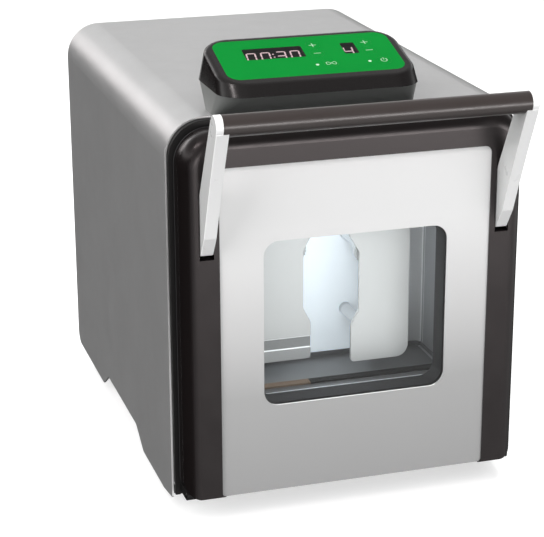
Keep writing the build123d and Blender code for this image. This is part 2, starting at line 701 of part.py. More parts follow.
def seal_ring(inset):
    grow = LINER_SHEET + SEAL_MARGIN + inset
    radius = LINER_CORNER_RADIUS + grow
    return panel(CHAMBER_HALF + grow, CHAMBER_FLOOR - grow, CHAMBER_TOP + grow, radius, radius)


def make_door_seal():
    ring = seal_ring(SEAL_WIDTH) - seal_ring(0.0)
    save("door_seal", prism_y(ring, DOOR_REAR, BULKHEAD_FRONT - SEAL_GAP))


def make_door_hardware():
    magnets = both_sides(magnet(MAGNET_RADIUS, INNER_PANEL_FRONT - MAGNET_LENGTH, DOOR_REAR))
    flag = bar_y(FLAG_RADIUS, INNER_PANEL_FRONT - FLAG_LENGTH, DOOR_REAR, SENSOR_X, SENSOR_Z)
    save("door_magnets", *magnets, flag)
    catch = block(ARM_CENTRE_X - CATCH_WIDTH / 2, ARM_CENTRE_X + CATCH_WIDTH / 2,
                  CATCH_FRONT, BULKHEAD_FRONT, CATCH_BOTTOM, CATCH_TOP)
    save("catch_plates", *both_sides(catch))
    sensor = bar_y(SENSOR_RADIUS, BULKHEAD_FRONT, BULKHEAD_FRONT + SENSOR_LENGTH, SENSOR_X, SENSOR_Z)
    save("door_sensor", sensor)


def make_hinges():
    knuckle = bar_x(KNUCKLE_RADIUS, LEAF_INNER_X, LEAF_OUTER_X, HINGE_Y, HINGE_Z)
    bore = bar_x(HINGE_PIN_RADIUS + RUNNING_GAP, LEAF_INNER_X - 1, LEAF_OUTER_X + 1, HINGE_Y, HINGE_Z)
    save("door_hinge_leaves", *both_sides(knuckle + leaf_shape() - bore))

    low = HINGE_Z - KNUCKLE_RADIUS
    high = HINGE_Z + KNUCKLE_RADIUS
    arm_profile = outline(
        [(HINGE_Y, low), (BRACKET_REACH, low), (BRACKET_REACH, BASE_BOTTOM),
         (BULKHEAD_FRONT, BASE_BOTTOM), (BULKHEAD_FRONT, high), (HINGE_Y, high)],
        [0, 4, 0, 0, 0, 0],
    )
    arm = prism_x(arm_profile, BRACKET_INNER_X, BRACKET_OUTER_X)
    arm -= bar_z(FOOT_RADIUS + SIDE_GAP, 0, BASE_BOTTOM, FOOT_X, FRONT_FOOT_Y)
    arm += bar_x(KNUCKLE_RADIUS, BRACKET_INNER_X, BRACKET_OUTER_X, HINGE_Y, HINGE_Z)
    arm -= bar_x(HINGE_PIN_RADIUS, BRACKET_INNER_X - 1, BRACKET_OUTER_X + 1, HINGE_Y, HINGE_Z)
    save("hinge_brackets", *both_sides(arm))

    pin = bar_x(HINGE_PIN_RADIUS, LEAF_INNER_X, BRACKET_OUTER_X, HINGE_Y, HINGE_Z)
    save("hinge_pins", *both_sides(pin))


# ---------------------------------------------------------------- handle pieces
def arm_profile():
    """One handle arm from the side, drawn as (y, z): a blade from the bar down into the door."""
    front = ThreePointArc(ARM_FRONT_TOP, ARM_FRONT_MIDDLE, ARM_FRONT_LOW)
    foot = (PIVOT_Y - PIVOT_BOSS_RADIUS * 0.25, NOSE_Z)
    edges = [
        front,
        Line(ARM_FRONT_LOW, ARM_FRONT_FOOT),
        Line(ARM_FRONT_FOOT, foot),
        Line(foot, (NOSE_Y, NOSE_Z)),
        Line((NOSE_Y, NOSE_Z), (PIVOT_Y + PIVOT_BOSS_RADIUS, PIVOT_Z)),
        Line((PIVOT_Y + PIVOT_BOSS_RADIUS, PIVOT_Z), ARM_REAR_LOW),
        Line(ARM_REAR_LOW, ARM_REAR_TOP),
        Line(ARM_REAR_TOP, (BAR_Y, BAR_Z)),
        Line((BAR_Y, BAR_Z), ARM_FRONT_TOP),
    ]
    blade = make_face(edges)
    corner = [v for v in blade.vertices() if abs(v.X - ARM_FRONT_FOOT[0]) < 0.01
              or abs(v.X - ARM_FRONT_LOW[0]) < 0.01 and abs(v.Y - ARM_FRONT_LOW[1]) < 0.01]
    blade = fillet(corner, PIVOT_PIN_RADIUS)
    return blade + Pos(BAR_Y, BAR_Z) * Circle(ARM_CAP_RADIUS)


def make_handle():
    blade = prism_x(arm_profile(), ARM_INNER_X, ARM_OUTER_X)
    saddle_top = BAR_Z - BAR_RADIUS + ARM_SADDLE
    blade -= block(ARM_INNER_X - 1, CAP_INNER_X, BAR_Y - 2 * BAR_RADIUS, BAR_Y + 2 * BAR_RADIUS,
                   saddle_top, BAR_Z + 2 * BAR_RADIUS)
    blade -= bar_x(BAR_RADIUS, ARM_INNER_X - 1, CAP_INNER_X, BAR_Y, BAR_Z)
    blade -= bar_x(PIVOT_PIN_RADIUS, ARM_INNER_X - 1, ARM_OUTER_X + 1, PIVOT_Y, PIVOT_Z)
    outer = [edge for edge in blade.faces().sort_by(Axis.X)[-1].outer_wire().edges()]
    blade = chamfer(outer, 0.6)
    right, left = both_sides(blade)
    save("handle_arm_right", right)
    save("handle_arm_left", left)

    tube = bar_x(BAR_RADIUS, -CAP_INNER_X, CAP_INNER_X, BAR_Y, BAR_Z)
    tube -= bar_x(BAR_RADIUS - BAR_WALL, -CAP_INNER_X - 1, CAP_INNER_X + 1, BAR_Y, BAR_Z)
    save("handle_bar", tube)

    pin_in = SLOT_INNER_X - SLOT_WALL
    pin_out = SLOT_OUTER_X + SLOT_WALL
    save("handle_pivot_pins", *both_sides(
        bar_x(PIVOT_PIN_RADIUS, pin_in, pin_out, PIVOT_Y, PIVOT_Z)))
    bushes = []
    for x0, x1 in ((pin_in, SLOT_INNER_X), (SLOT_OUTER_X, pin_out)):
        bush = bar_x(PIVOT_BUSH_RADIUS, x0, x1, PIVOT_Y, PIVOT_Z)
        bush -= bar_x(PIVOT_PIN_RADIUS + RUNNING_GAP, x0 - 1, x1 + 1, PIVOT_Y, PIVOT_Z)
        bushes += both_sides(bush)
    save("handle_pivot_bushes", *bushes)


# ---------------------------------------------------------------- chamber pieces
def chamber_outline(grow=0.0):
    radius = LINER_CORNER_RADIUS + grow
    return panel(CHAMBER_HALF + grow, CHAMBER_FLOOR - grow, CHAMBER_TOP + grow, radius, radius)


def rod_places():
    return [(side * ROD_X, z) for side in (-1, 1) for z in ROD_HEIGHTS]


def make_chamber_liner():
    liner = prism_y(chamber_outline(LINER_SHEET), BULKHEAD_FRONT, LINER_REAR)
    liner -= prism_y(chamber_outline(), BULKHEAD_FRONT - 1, CHAMBER_REAR)
    flange = chamber_outline(LINER_SHEET + LINER_FLANGE) - chamber_outline(LINER_SHEET)
    liner += prism_y(flange, BULKHEAD_REAR, BULKHEAD_REAR + LINER_SHEET)
    for x, z in rod_places():
        liner -= bar_y(ROD_RADIUS + LINER_ROD_GAP, CHAMBER_REAR - 1, LINER_REAR + 1, x, z)
    save("chamber_liner", liner)


def make_drip_tray():
    half = CHAMBER_HALF - TRAY_GAP
    radius = LINER_CORNER_RADIUS
    rear = CHAMBER_REAR - TRAY_GAP
    low = CHAMBER_FLOOR
    middle_y = (TRAY_FRONT + rear) / 2
    depth = rear - TRAY_FRONT
    outer = Pos(0, middle_y, low) * extrude(RectangleRounded(2 * half, depth, radius), TRAY_LIP)
    inner = Pos(0, middle_y, low + TRAY_THICKNESS) * extrude(
        RectangleRounded(2 * half - 2 * TRAY_THICKNESS, depth - 2 * TRAY_THICKNESS,
                         radius - TRAY_THICKNESS), TRAY_LIP
    )
    corner_room = block(-half, half, TRAY_FRONT, rear, low - 1, low + 2 * TRAY_LIP)
    tray = (outer - inner) & corner_room
    tray &= prism_y(chamber_outline(-TRAY_GAP / 3), TRAY_FRONT - 1, rear + 1) + block(
        -half + radius, half - radius, TRAY_FRONT - 1, rear + 1, low, low + TRAY_LIP)
    hole_count = int((half - TRAY_HOLE_MARGIN) * 2 / TRAY_HOLE_PITCH) + 1
    first = -(hole_count - 1) * TRAY_HOLE_PITCH / 2
    for index in range(hole_count):
        x = first + index * TRAY_HOLE_PITCH
        tray -= bar_z(TRAY_HOLE_RADIUS, low - 1, low + TRAY_THICKNESS + 1, x, TRAY_HOLE_Y)
    save("drip_tray", tray)

    strip_half = half - TRAY_THICKNESS - radius
    floor = low + TRAY_THICKNESS
    strip = block(-strip_half, strip_half, TRAY_SEAL_FRONT, TRAY_SEAL_FRONT + TRAY_SEAL_DEPTH,
                  floor, floor + TRAY_SEAL_HEIGHT)
    save("tray_strip", strip)


# ---------------------------------------------------------------- paddles and drive
def paddle_outline():
    """The right paddle as (x, z): wide at the bottom, waisted, then wide again on top."""
    low_start, low_end = PADDLE_LOW_STEP
    high_start, high_end = PADDLE_HIGH_STEP
    points = [
        (PADDLE_LOW_INNER_X, PADDLE_BOTTOM),
        (PADDLE_OUTER_X, PADDLE_BOTTOM),
        (PADDLE_OUTER_X, PADDLE_TOP),
        (PADDLE_HIGH_INNER_X, PADDLE_TOP),
        (PADDLE_HIGH_INNER_X, high_end),
        (PADDLE_MIDDLE_INNER_X, high_start),
        (PADDLE_MIDDLE_INNER_X, low_end),
        (PADDLE_LOW_INNER_X, low_start),
    ]
    return outline(points, [PADDLE_INNER_CORNER_RADIUS, PADDLE_CORNER_RADIUS, PADDLE_CORNER_RADIUS,
                            PADDLE_INNER_CORNER_RADIUS, STEP_RADIUS, STEP_RADIUS, STEP_RADIUS,
                            STEP_RADIUS])


def knurled_collar(x, y0, z):
    """The collar on a rod's end that its paddle is fixed to."""
    collar = bar_y(COLLAR_RADIUS, y0, y0 + COLLAR_LENGTH, x, z)
    for index in range(KNURL_COUNT):
        angle = 2 * pi * index / KNURL_COUNT
        collar -= bar_y(KNURL_RADIUS, y0 - 1, y0 + COLLAR_LENGTH + 1,
                        x + COLLAR_RADIUS * cos(angle), z + COLLAR_RADIUS * sin(angle))
    return collar


def make_carriage(name, side, shift):
    """One paddle with its rods and yoke: side is -1 or 1, shift is how far back it rests."""
    front = PADDLE_FRONT + shift
    plate = prism_y(paddle_outline(), front, front + PADDLE_THICKNESS)
    if side < 0:
        plate = mirror(plate, Plane.YZ)
        plate -= block(-PADDLE_OUTER_X - 1, 0, front - 1, front + BEND_DEPTH, BEND_BOTTOM, BEND_TOP)
    save(f"paddle_{name}", plate)

    rear = front + PADDLE_THICKNESS
    crank_pin_y = CRANK_Y - CRANK_RADIUS + shift
    yoke_front = crank_pin_y - YOKE_HALF_DEPTH
    x = side * ROD_X
    rods = []
    for z in ROD_HEIGHTS:
        rods.append(bar_y(ROD_RADIUS, rear, yoke_front, x, z) + knurled_collar(x, rear, z))
    save(f"push_rods_{name}", *rods)

    half_width = YOKE_WIDTH / 2
    yoke = block(x - half_width, x + half_width, yoke_front, crank_pin_y + YOKE_HALF_DEPTH,
                 CRANK_Z - YOKE_HALF_HEIGHT, CRANK_Z + YOKE_HALF_HEIGHT)
    slot_half = ROLLER_RADIUS + YOKE_PLAY
    yoke -= block(x - half_width - 1, x + half_width + 1, crank_pin_y - slot_half,
                  crank_pin_y + slot_half, CRANK_Z - SLOT_HALF_HEIGHT, CRANK_Z + SLOT_HALF_HEIGHT)
    save(f"yoke_{name}", yoke)


def crank_web(x0, x1, pin_y):
    face = make_hull([
        (Pos(CRANK_Y, CRANK_Z) * Circle(WEB_RADIUS)).edge(),
        (Pos(pin_y, CRANK_Z) * Circle(WEB_RADIUS)).edge(),
    ])
    return prism_x(face, x0, x1)


def make_crankshaft():
    pin_in = ROD_X - CRANK_PIN_LENGTH / 2
    pin_out = ROD_X + CRANK_PIN_LENGTH / 2
    shaft_end = PULLEY_INNER_X + PULLEY_WIDTH + PULLEY_FLANGE
    crank = bar_x(SHAFT_RADIUS, -pin_in, pin_in, CRANK_Y, CRANK_Z)
    crank += bar_x(SHAFT_RADIUS, pin_out, shaft_end, CRANK_Y, CRANK_Z)
    crank += bar_x(SHAFT_RADIUS, -FRAME_PLATE_OUT - BUSH_OVERHANG, -pin_out, CRANK_Y, CRANK_Z)
    rollers = []
    for side, pin_y in ((1, CRANK_Y - CRANK_RADIUS), (-1, CRANK_Y + CRANK_RADIUS)):
        low, high = sorted((side * pin_in, side * pin_out))
        crank += bar_x(CRANK_PIN_RADIUS, low, high, pin_y, CRANK_Z)
        for web_x in (pin_in - WEB_THICKNESS, pin_out):
            x0, x1 = sorted((side * web_x, side * (web_x + WEB_THICKNESS)))
            crank += crank_web(x0, x1, pin_y)
        x0, x1 = side * ROD_X - ROLLER_WIDTH / 2, side * ROD_X + ROLLER_WIDTH / 2
        roller = bar_x(ROLLER_RADIUS, x0, x1, pin_y, CRANK_Z)
        rollers.append(roller - bar_x(CRANK_PIN_RADIUS, x0 - 1, x1 + 1, pin_y, CRANK_Z))
    save("crankshaft", crank)
    save("crank_rollers", *rollers)


def pulley(radius, shaft_radius, y, z):
    x0, x1 = PULLEY_INNER_X, PULLEY_INNER_X + PULLEY_WIDTH
    wheel = bar_x(radius, x0, x1, y, z)
    for low in (x0, x1 - PULLEY_FLANGE):
        wheel += bar_x(radius + PULLEY_RIM, low, low + PULLEY_FLANGE, y, z)
    return wheel - bar_x(shaft_radius, x0 - 1, x1 + 1, y, z)


def belt_loop(grow):
    """The belt's run round both pulleys, as (y, z), a set distance outside their treads."""
    return make_hull([
        (Pos(CRANK_Y, CRANK_Z) * Circle(CRANK_PULLEY_RADIUS + grow)).edge(),
        (Pos(MOTOR_Y, MOTOR_Z) * Circle(MOTOR_PULLEY_RADIUS + grow)).edge(),
    ])


def make_belt_drive():
    save("crank_pulley", pulley(CRANK_PULLEY_RADIUS, SHAFT_RADIUS, CRANK_Y, CRANK_Z))
    shaft_start = MOTOR_FACE_X - MOTOR_SHAFT_DEPTH
    shaft_end = PULLEY_INNER_X + PULLEY_WIDTH
    shaft = bar_x(MOTOR_SHAFT_RADIUS, shaft_start, shaft_end, MOTOR_Y, MOTOR_Z)
    wheel = pulley(MOTOR_PULLEY_RADIUS, MOTOR_SHAFT_RADIUS, MOTOR_Y, MOTOR_Z)
    save("motor_pulley", wheel + shaft)
    loop = belt_loop(BELT_GAP + BELT_THICKNESS) - belt_loop(BELT_GAP)
    inset = PULLEY_FLANGE + BELT_SIDE_GAP
    save("drive_belt", prism_x(loop, PULLEY_INNER_X + inset, PULLEY_INNER_X + PULLEY_WIDTH - inset))


def make_motor():
    rear_x = MOTOR_FACE_X - MOTOR_LENGTH
    body = bar_x(MOTOR_RADIUS - MOTOR_FIN, rear_x, MOTOR_FACE_X, MOTOR_Y, MOTOR_Z)
    fin_margin = MOTOR_LENGTH / 8
    fin_length = MOTOR_LENGTH - 2 * fin_margin
    for index in range(MOTOR_FIN_COUNT):
        angle = 360 * index / MOTOR_FIN_COUNT
        fin = Box(fin_length, MOTOR_FIN, 2 * MOTOR_FIN)
        body += Pos(rear_x + fin_margin + fin_length / 2, MOTOR_Y, MOTOR_Z) * Rot(angle, 0, 0) * Pos(
            0, 0, MOTOR_RADIUS - MOTOR_FIN) * fin
    bracket_x = MOTOR_FACE_X
    boss_end = bracket_x + MOTOR_BRACKET_THICKNESS
    body += bar_x(MOTOR_BOSS_RADIUS, bracket_x, boss_end, MOTOR_Y, MOTOR_Z)
    body -= bar_x(MOTOR_SHAFT_RADIUS + RUNNING_GAP, MOTOR_FACE_X - MOTOR_SHAFT_DEPTH - 1,
                  boss_end + 1, MOTOR_Y, MOTOR_Z)
    save("motor", body)

    y0, y1 = MOTOR_Y - MOTOR_RADIUS, MOTOR_Y + MOTOR_RADIUS
    upright = block(bracket_x, boss_end, y0, y1, BASE_TOP, MOTOR_Z + MOTOR_RADIUS)
    upright -= bar_x(MOTOR_BOSS_RADIUS, bracket_x - 1, boss_end + 1, MOTOR_Y, MOTOR_Z)
    foot = block(MOTOR_FACE_X - MOTOR_LENGTH, bracket_x, y0, y1, BASE_TOP,
                 BASE_TOP + MOTOR_BRACKET_THICKNESS)
    save("motor_bracket", upright + foot)


def make_drive_frame():
    low = BASE_TOP
    plates = []
    for side in (-1, 1):
        x0, x1 = sorted((side * FRAME_PLATE_X, side * FRAME_PLATE_OUT))
        plate = block(x0, x1, GUIDE_FRONT, FRAME_REAR, low + FRAME_FOOT, FRAME_TOP)
        window_high = CRANK_Z - BEARING_RADIUS - FRAME_WINDOW_MARGIN
        window = block(x0 - 1, x1 + 1, GUIDE_FRONT + FRAME_WINDOW_MARGIN,
                       FRAME_REAR - FRAME_WINDOW_MARGIN, low + FRAME_WINDOW_MARGIN, window_high)
        plate -= fillet(window.edges().filter_by(Axis.X), FRAME_PLATE)
        plate -= bar_x(BEARING_RADIUS, x0 - 1, x1 + 1, CRANK_Y, CRANK_Z)
        plates.append(plate)
    foot = block(-FRAME_PLATE_OUT, FRAME_PLATE_OUT, GUIDE_FRONT, FRAME_REAR, low, low + FRAME_FOOT)
    save("drive_frame", plates[0] + plates[1] + foot)

    guide_rear = GUIDE_FRONT + GUIDE_LENGTH
    guide = block(-FRAME_PLATE_X, FRAME_PLATE_X, GUIDE_FRONT, guide_rear,
                  ROD_HEIGHTS[0] - GUIDE_MARGIN, ROD_HEIGHTS[1] + GUIDE_MARGIN)
    bushes, wipers = [], []
    for x, z in rod_places():
        guide -= bar_y(BUSH_RADIUS, GUIDE_FRONT - 1, guide_rear + 1, x, z)
        bush = bar_y(BUSH_RADIUS, GUIDE_FRONT - BUSH_OVERHANG, guide_rear + BUSH_OVERHANG, x, z)
        bushes.append(bush - bar_y(ROD_RADIUS + RUNNING_GAP, GUIDE_FRONT - 5, guide_rear + 5, x, z))
        wiper = bar_y(WIPER_RADIUS, LINER_REAR, LINER_REAR + WIPER_LENGTH, x, z)
        wipers.append(wiper - bar_y(ROD_RADIUS + WIPER_GAP, LINER_REAR - 1,
                                    LINER_REAR + WIPER_LENGTH + 1, x, z))
    save("guide_block", guide)
    save("rod_bushes", *bushes)
    save("rod_wipers", *wipers)

    bearings = []
    for side in (-1, 1):
        x0, x1 = sorted((side * FRAME_PLATE_X, side * FRAME_PLATE_OUT))
        bearing = bar_x(BEARING_RADIUS, x0, x1, CRANK_Y, CRANK_Z)
        bearings.append(bearing - bar_x(SHAFT_RADIUS + RUNNING_GAP, x0 - 1, x1 + 1, CRANK_Y, CRANK_Z))
    save("crank_bearings", *bearings)


# ---------------------------------------------------------------- console pieces
def label_place(x, along, depth=0.0):
    """A location on the sloping label: x from its middle, along from its front edge, depth in."""
    slope = radians(LABEL_TILT)
    y = LABEL_FRONT + along * cos(slope) + depth * sin(slope)
    z = LABEL_FRONT_Z + along * sin(slope) - depth * cos(slope)
    return Location((CONSOLE_X + x, y, z), (LABEL_TILT, 0, 0))


def label_sheet(width, depth, radius, top, thickness):
    """A rounded sheet parallel to the label, its upper face 'top' below the label's face."""
    sketch = RectangleRounded(width, depth, radius)
    return label_place(0, LABEL_DEPTH / 2, top + thickness) * extrude(sketch, thickness)


def label_pin(radius, x, along, top, length):
    return label_place(x, along, top + length / 2) * Cylinder(radius, length)


def label_window(left, width, top, thickness, grow=0.0):
    sketch = RectangleRounded(width + 2 * grow, DISPLAY_HEIGHT + 2 * grow, DISPLAY_CORNER_RADIUS + grow)
    place = label_place(left + width / 2, DISPLAY_LOW + DISPLAY_HEIGHT / 2, top + thickness)
    return place * extrude(sketch, thickness)


def level_outline(width, front, depth, radius, z):
    centre_y = front + depth / 2
    return Pos(CONSOLE_X, centre_y, z) * RectangleRounded(width, depth, radius)


def head_loft(inset, top):
    low = level_outline(WAIST_WIDTH - 2 * inset, WAIST_FRONT + inset, WAIST_DEPTH - 2 * inset,
                        WAIST_CORNER_RADIUS - inset, WAIST_Z)
    high = label_place(0, BEZEL_MIDDLE, top) * RectangleRounded(
        BEZEL_WIDTH - 2 * inset, BEZEL_DEPTH - 2 * inset, BEZEL_CORNER_RADIUS - inset)
    return loft([low, high])


def neck_loft(inset):
    low = level_outline(NECK_WIDTH - 2 * inset, NECK_FRONT + inset, NECK_DEPTH - 2 * inset,
                        NECK_CORNER_RADIUS - inset, CASE_TOP)
    rim = NECK_INSET + inset
    high = level_outline(WAIST_WIDTH - 2 * rim, WAIST_FRONT + rim, WAIST_DEPTH - 2 * rim,
                         WAIST_CORNER_RADIUS - rim, WAIST_Z)
    return loft([low, high])


def make_console():
    save("console_neck", neck_loft(0) - neck_loft(HEAD_WALL))

    head = head_loft(0, 0)
    head = fillet(head.faces().sort_by(Axis.Z)[-1].edges(), BEZEL_EDGE_RADIUS)
    head -= head_loft(HEAD_WALL, HEAD_WALL)
    head -= label_sheet(LABEL_WIDTH, LABEL_DEPTH, LABEL_CORNER_RADIUS, -1, 1 + LABEL_THICKNESS)
    deep = HEAD_WALL + 1
    head -= label_window(TIME_WINDOW_LEFT, TIME_WINDOW_WIDTH, -1, deep + 1)
    head -= label_window(SPEED_WINDOW_LEFT, SPEED_WINDOW_WIDTH, -1, deep + 1)
    for x, along in KEYS.values():
        head -= label_pin(KEY_RADIUS + KEY_GAP, x, along, 0, deep)
    for x in LED_PLACES:
        head -= label_pin(LED_RADIUS, x, LED_ROW, 0, deep)
    board_half_x = LABEL_HALF - BOARD_MARGIN - POST_MARGIN
    post_rows = (BOARD_MARGIN + POST_MARGIN, LABEL_DEPTH - BOARD_MARGIN - POST_MARGIN)
    for x in (-board_half_x, board_half_x):
        for along in post_rows:
            head += label_pin(POST_RADIUS, x, along, HEAD_WALL, BOARD_DEPTH - HEAD_WALL)
    save("console_head", head)

    label = label_sheet(LABEL_WIDTH, LABEL_DEPTH, LABEL_CORNER_RADIUS, 0, LABEL_THICKNESS)
    label -= label_window(TIME_WINDOW_LEFT, TIME_WINDOW_WIDTH, -1, deep)
    label -= label_window(SPEED_WINDOW_LEFT, SPEED_WINDOW_WIDTH, -1, deep)
    for x, along in KEYS.values():
        label -= label_pin(KEY_RADIUS + KEY_GAP, x, along, -1, deep)
    for x in LED_PLACES:
        label -= label_pin(LED_RADIUS, x, LED_ROW, -1, deep)
    save("control_membrane", label)

    save("display_windows",
         label_window(TIME_WINDOW_LEFT, TIME_WINDOW_WIDTH, 0, HEAD_WALL),
         label_window(SPEED_WINDOW_LEFT, SPEED_WINDOW_WIDTH, 0, HEAD_WALL))


def make_keys():
    for name, (x, along) in KEYS.items():
        cap = label_pin(KEY_RADIUS, x, along, 0, LABEL_THICKNESS)
        save(name, cap + label_pin(KEY_STEM_RADIUS, x, along, LABEL_THICKNESS, KEY_STEM))


def make_display_board():
    """The board with its two digit modules, two lamps and one switch under each key."""
    board = label_sheet(LABEL_WIDTH - 2 * BOARD_MARGIN, LABEL_DEPTH - 2 * BOARD_MARGIN,
                        POST_RADIUS, BOARD_DEPTH, BOARD_THICKNESS)
    for left, width in ((TIME_WINDOW_LEFT, TIME_WINDOW_WIDTH),
                        (SPEED_WINDOW_LEFT, SPEED_WINDOW_WIDTH)):
        board += label_window(left, width, HEAD_WALL, BOARD_DEPTH - HEAD_WALL)
    for x in LED_PLACES:
        board += label_pin(LED_RADIUS, x, LED_ROW, 0, BOARD_DEPTH)
    dome_top = LABEL_THICKNESS + KEY_STEM + KEY_TRAVEL + KEY_END_GAP
    for x, along in KEYS.values():
        board += label_pin(KEY_DOME_RADIUS, x, along, dome_top, BOARD_DEPTH - dome_top)
    save("display_board", board)


# ---------------------------------------------------------------- rear fittings
def make_power_inlet():
    flange_rear = PANEL_REAR + INLET_FLANGE
    body = block(INLET_X - INLET_FLANGE_WIDTH / 2, INLET_X + INLET_FLANGE_WIDTH / 2, PANEL_REAR,
                 flange_rear, INLET_Z - INLET_FLANGE_HEIGHT / 2, INLET_Z + INLET_FLANGE_HEIGHT / 2)
    body = fillet(body.edges().filter_by(Axis.Y), INLET_FLANGE)
    body += block(INLET_X - INLET_WIDTH / 2, INLET_X + INLET_WIDTH / 2, flange_rear - INLET_DEPTH,
                  PANEL_REAR, INLET_Z - INLET_HEIGHT / 2, INLET_Z + INLET_HEIGHT / 2)
    half, low, high = SOCKET_WIDTH / 2, -SOCKET_HEIGHT / 2, SOCKET_HEIGHT / 2
    socket = outline([(-half, low), (half, low), (half, high - SOCKET_CHAMFER),
                      (half - SOCKET_CHAMFER, high), (SOCKET_CHAMFER - half, high),
                      (-half, high - SOCKET_CHAMFER)], [1, 1, 0.5, 0.5, 0.5, 0.5])
    body -= prism_y(Pos(INLET_X, INLET_Z) * socket, flange_rear - SOCKET_DEPTH, flange_rear + 1)
    contact_rear = flange_rear - CONTACT_STANDOFF
    for dx, dz in ((-CONTACT_PITCH, -CONTACT_THICKNESS), (0, CONTACT_THICKNESS),
                   (CONTACT_PITCH, -CONTACT_THICKNESS)):
        x, z = INLET_X + dx, INLET_Z + dz
        body += block(x - CONTACT_THICKNESS / 2, x + CONTACT_THICKNESS / 2,
                      flange_rear - SOCKET_DEPTH, contact_rear,
                      z - CONTACT_WIDTH / 2, z + CONTACT_WIDTH / 2)
    save("power_inlet", body)


def make_power_switch():
    low, high = INLET_Z - SWITCH_HEIGHT / 2, INLET_Z + SWITCH_HEIGHT / 2
    left, right = SWITCH_X - SWITCH_WIDTH / 2, SWITCH_X + SWITCH_WIDTH / 2
    rear = PANEL_REAR + SWITCH_FLANGE
    box = block(left, right, rear - SWITCH_DEPTH, PANEL_REAR, low, high)
    box += block(left - SWITCH_RIM, right + SWITCH_RIM, PANEL_REAR, rear, low - SWITCH_RIM,
                 high + SWITCH_RIM)
    wall = SHEET
    box -= block(left + wall, right - wall, rear - SWITCH_DEPTH + wall, rear + 1,
                 low + wall, high - wall)
    pin_y = rear - ROCKER_THICKNESS / 2
    box -= bar_x(ROCKER_PIN_RADIUS + RUNNING_GAP, left, right, pin_y, INLET_Z)
    save("switch_housing", box)

    half = SWITCH_HEIGHT / 2 - wall - ROCKER_GAP
    front = -ROCKER_THICKNESS / 2
    crown = ROCKER_THICKNESS / 2
    side_back = crown - half * tan(radians(ROCKER_TILT)) * 0.5
    shape = outline([(front, -half * 0.55), (side_back, -half), (crown, 0), (side_back, half),
                     (front, half * 0.55)], [1, 0.8, 0, 0.8, 1])
    x0, x1 = left + wall + ROCKER_GAP, right - wall - ROCKER_GAP
    rocker = prism_x(Pos(0, 0) * shape, x0, x1)
    rocker = Pos(0, pin_y, INLET_Z) * Rot(-ROCKER_TILT, 0, 0) * rocker
    rocker += bar_x(ROCKER_PIN_RADIUS, left + RUNNING_GAP, right - RUNNING_GAP, pin_y, INLET_Z)
    save("power_switch", rocker)


def make_control_board():
    top = BASE_TOP + CONTROL_BOARD_LIFT
    x0, x1 = CONTROL_BOARD_X - CONTROL_BOARD_WIDTH / 2, CONTROL_BOARD_X + CONTROL_BOARD_WIDTH / 2
    y0, y1 = CONTROL_BOARD_Y - CONTROL_BOARD_LENGTH / 2, CONTROL_BOARD_Y + CONTROL_BOARD_LENGTH / 2
    board = block(x0, x1, y0, y1, top, top + BOARD_THICKNESS)
    parts_low = top + BOARD_THICKNESS
    transformer_y = y0 + BOARD_PART_MARGIN
    half_width = TRANSFORMER_WIDTH / 2
    board += block(CONTROL_BOARD_X - half_width, CONTROL_BOARD_X + half_width, transformer_y,
                   transformer_y + TRANSFORMER_WIDTH, parts_low, parts_low + TRANSFORMER_HEIGHT)
    sink_x = x0 + BOARD_PART_MARGIN
    sink_y = CONTROL_BOARD_Y + BOARD_PART_MARGIN
    board += block(sink_x, sink_x + HEAT_SINK_WIDTH, sink_y, sink_y + HEAT_SINK_DEPTH, parts_low,
                   parts_low + HEAT_SINK_HEIGHT)
    capacitor_x = x1 - BOARD_PART_MARGIN - CAPACITOR_RADIUS
    for index in range(CAPACITOR_COUNT):
        board += bar_z(CAPACITOR_RADIUS, parts_low, parts_low + CAPACITOR_HEIGHT, capacitor_x,
                       sink_y + CAPACITOR_PITCH * index)
    save("control_board", board)


make_casing_cover()
make_base_plate()
make_front_bulkhead()
make_rear_panel()
make_rear_screws()
make_feet()
make_door_frame()
make_door_plate()
make_door_window()
make_door_inner_panel()
make_door_seal()
make_door_hardware()
make_hinges()
make_handle()
make_chamber_liner()
make_drip_tray()
make_carriage("right", 1, 0.0)
make_carriage("left", -1, STROKE)
make_crankshaft()
make_belt_drive()
make_motor()
make_drive_frame()
make_console()
make_keys()
make_display_board()
make_power_inlet()
make_power_switch()
make_control_board()
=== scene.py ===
import json
from math import cos, hypot, pi, radians, sin

import bpy
from mathutils import Euler, Matrix, Vector


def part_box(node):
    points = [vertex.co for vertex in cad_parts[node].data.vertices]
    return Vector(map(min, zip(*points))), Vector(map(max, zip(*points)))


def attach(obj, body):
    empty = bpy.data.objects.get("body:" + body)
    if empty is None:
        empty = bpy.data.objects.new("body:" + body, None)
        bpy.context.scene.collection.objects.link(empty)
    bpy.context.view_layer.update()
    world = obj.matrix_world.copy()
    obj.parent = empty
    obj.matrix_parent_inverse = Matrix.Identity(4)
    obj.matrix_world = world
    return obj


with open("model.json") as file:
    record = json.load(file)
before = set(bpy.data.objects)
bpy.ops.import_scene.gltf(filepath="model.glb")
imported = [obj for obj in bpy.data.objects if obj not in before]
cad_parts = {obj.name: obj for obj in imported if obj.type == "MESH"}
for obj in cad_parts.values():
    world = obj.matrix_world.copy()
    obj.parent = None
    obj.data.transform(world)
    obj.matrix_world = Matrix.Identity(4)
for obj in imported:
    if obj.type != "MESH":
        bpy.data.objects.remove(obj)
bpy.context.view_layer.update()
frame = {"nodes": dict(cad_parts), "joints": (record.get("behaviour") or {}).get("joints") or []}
nodes = frame["nodes"]
joints = {joint["name"]: joint for joint in frame["joints"]}

MM = 0.001

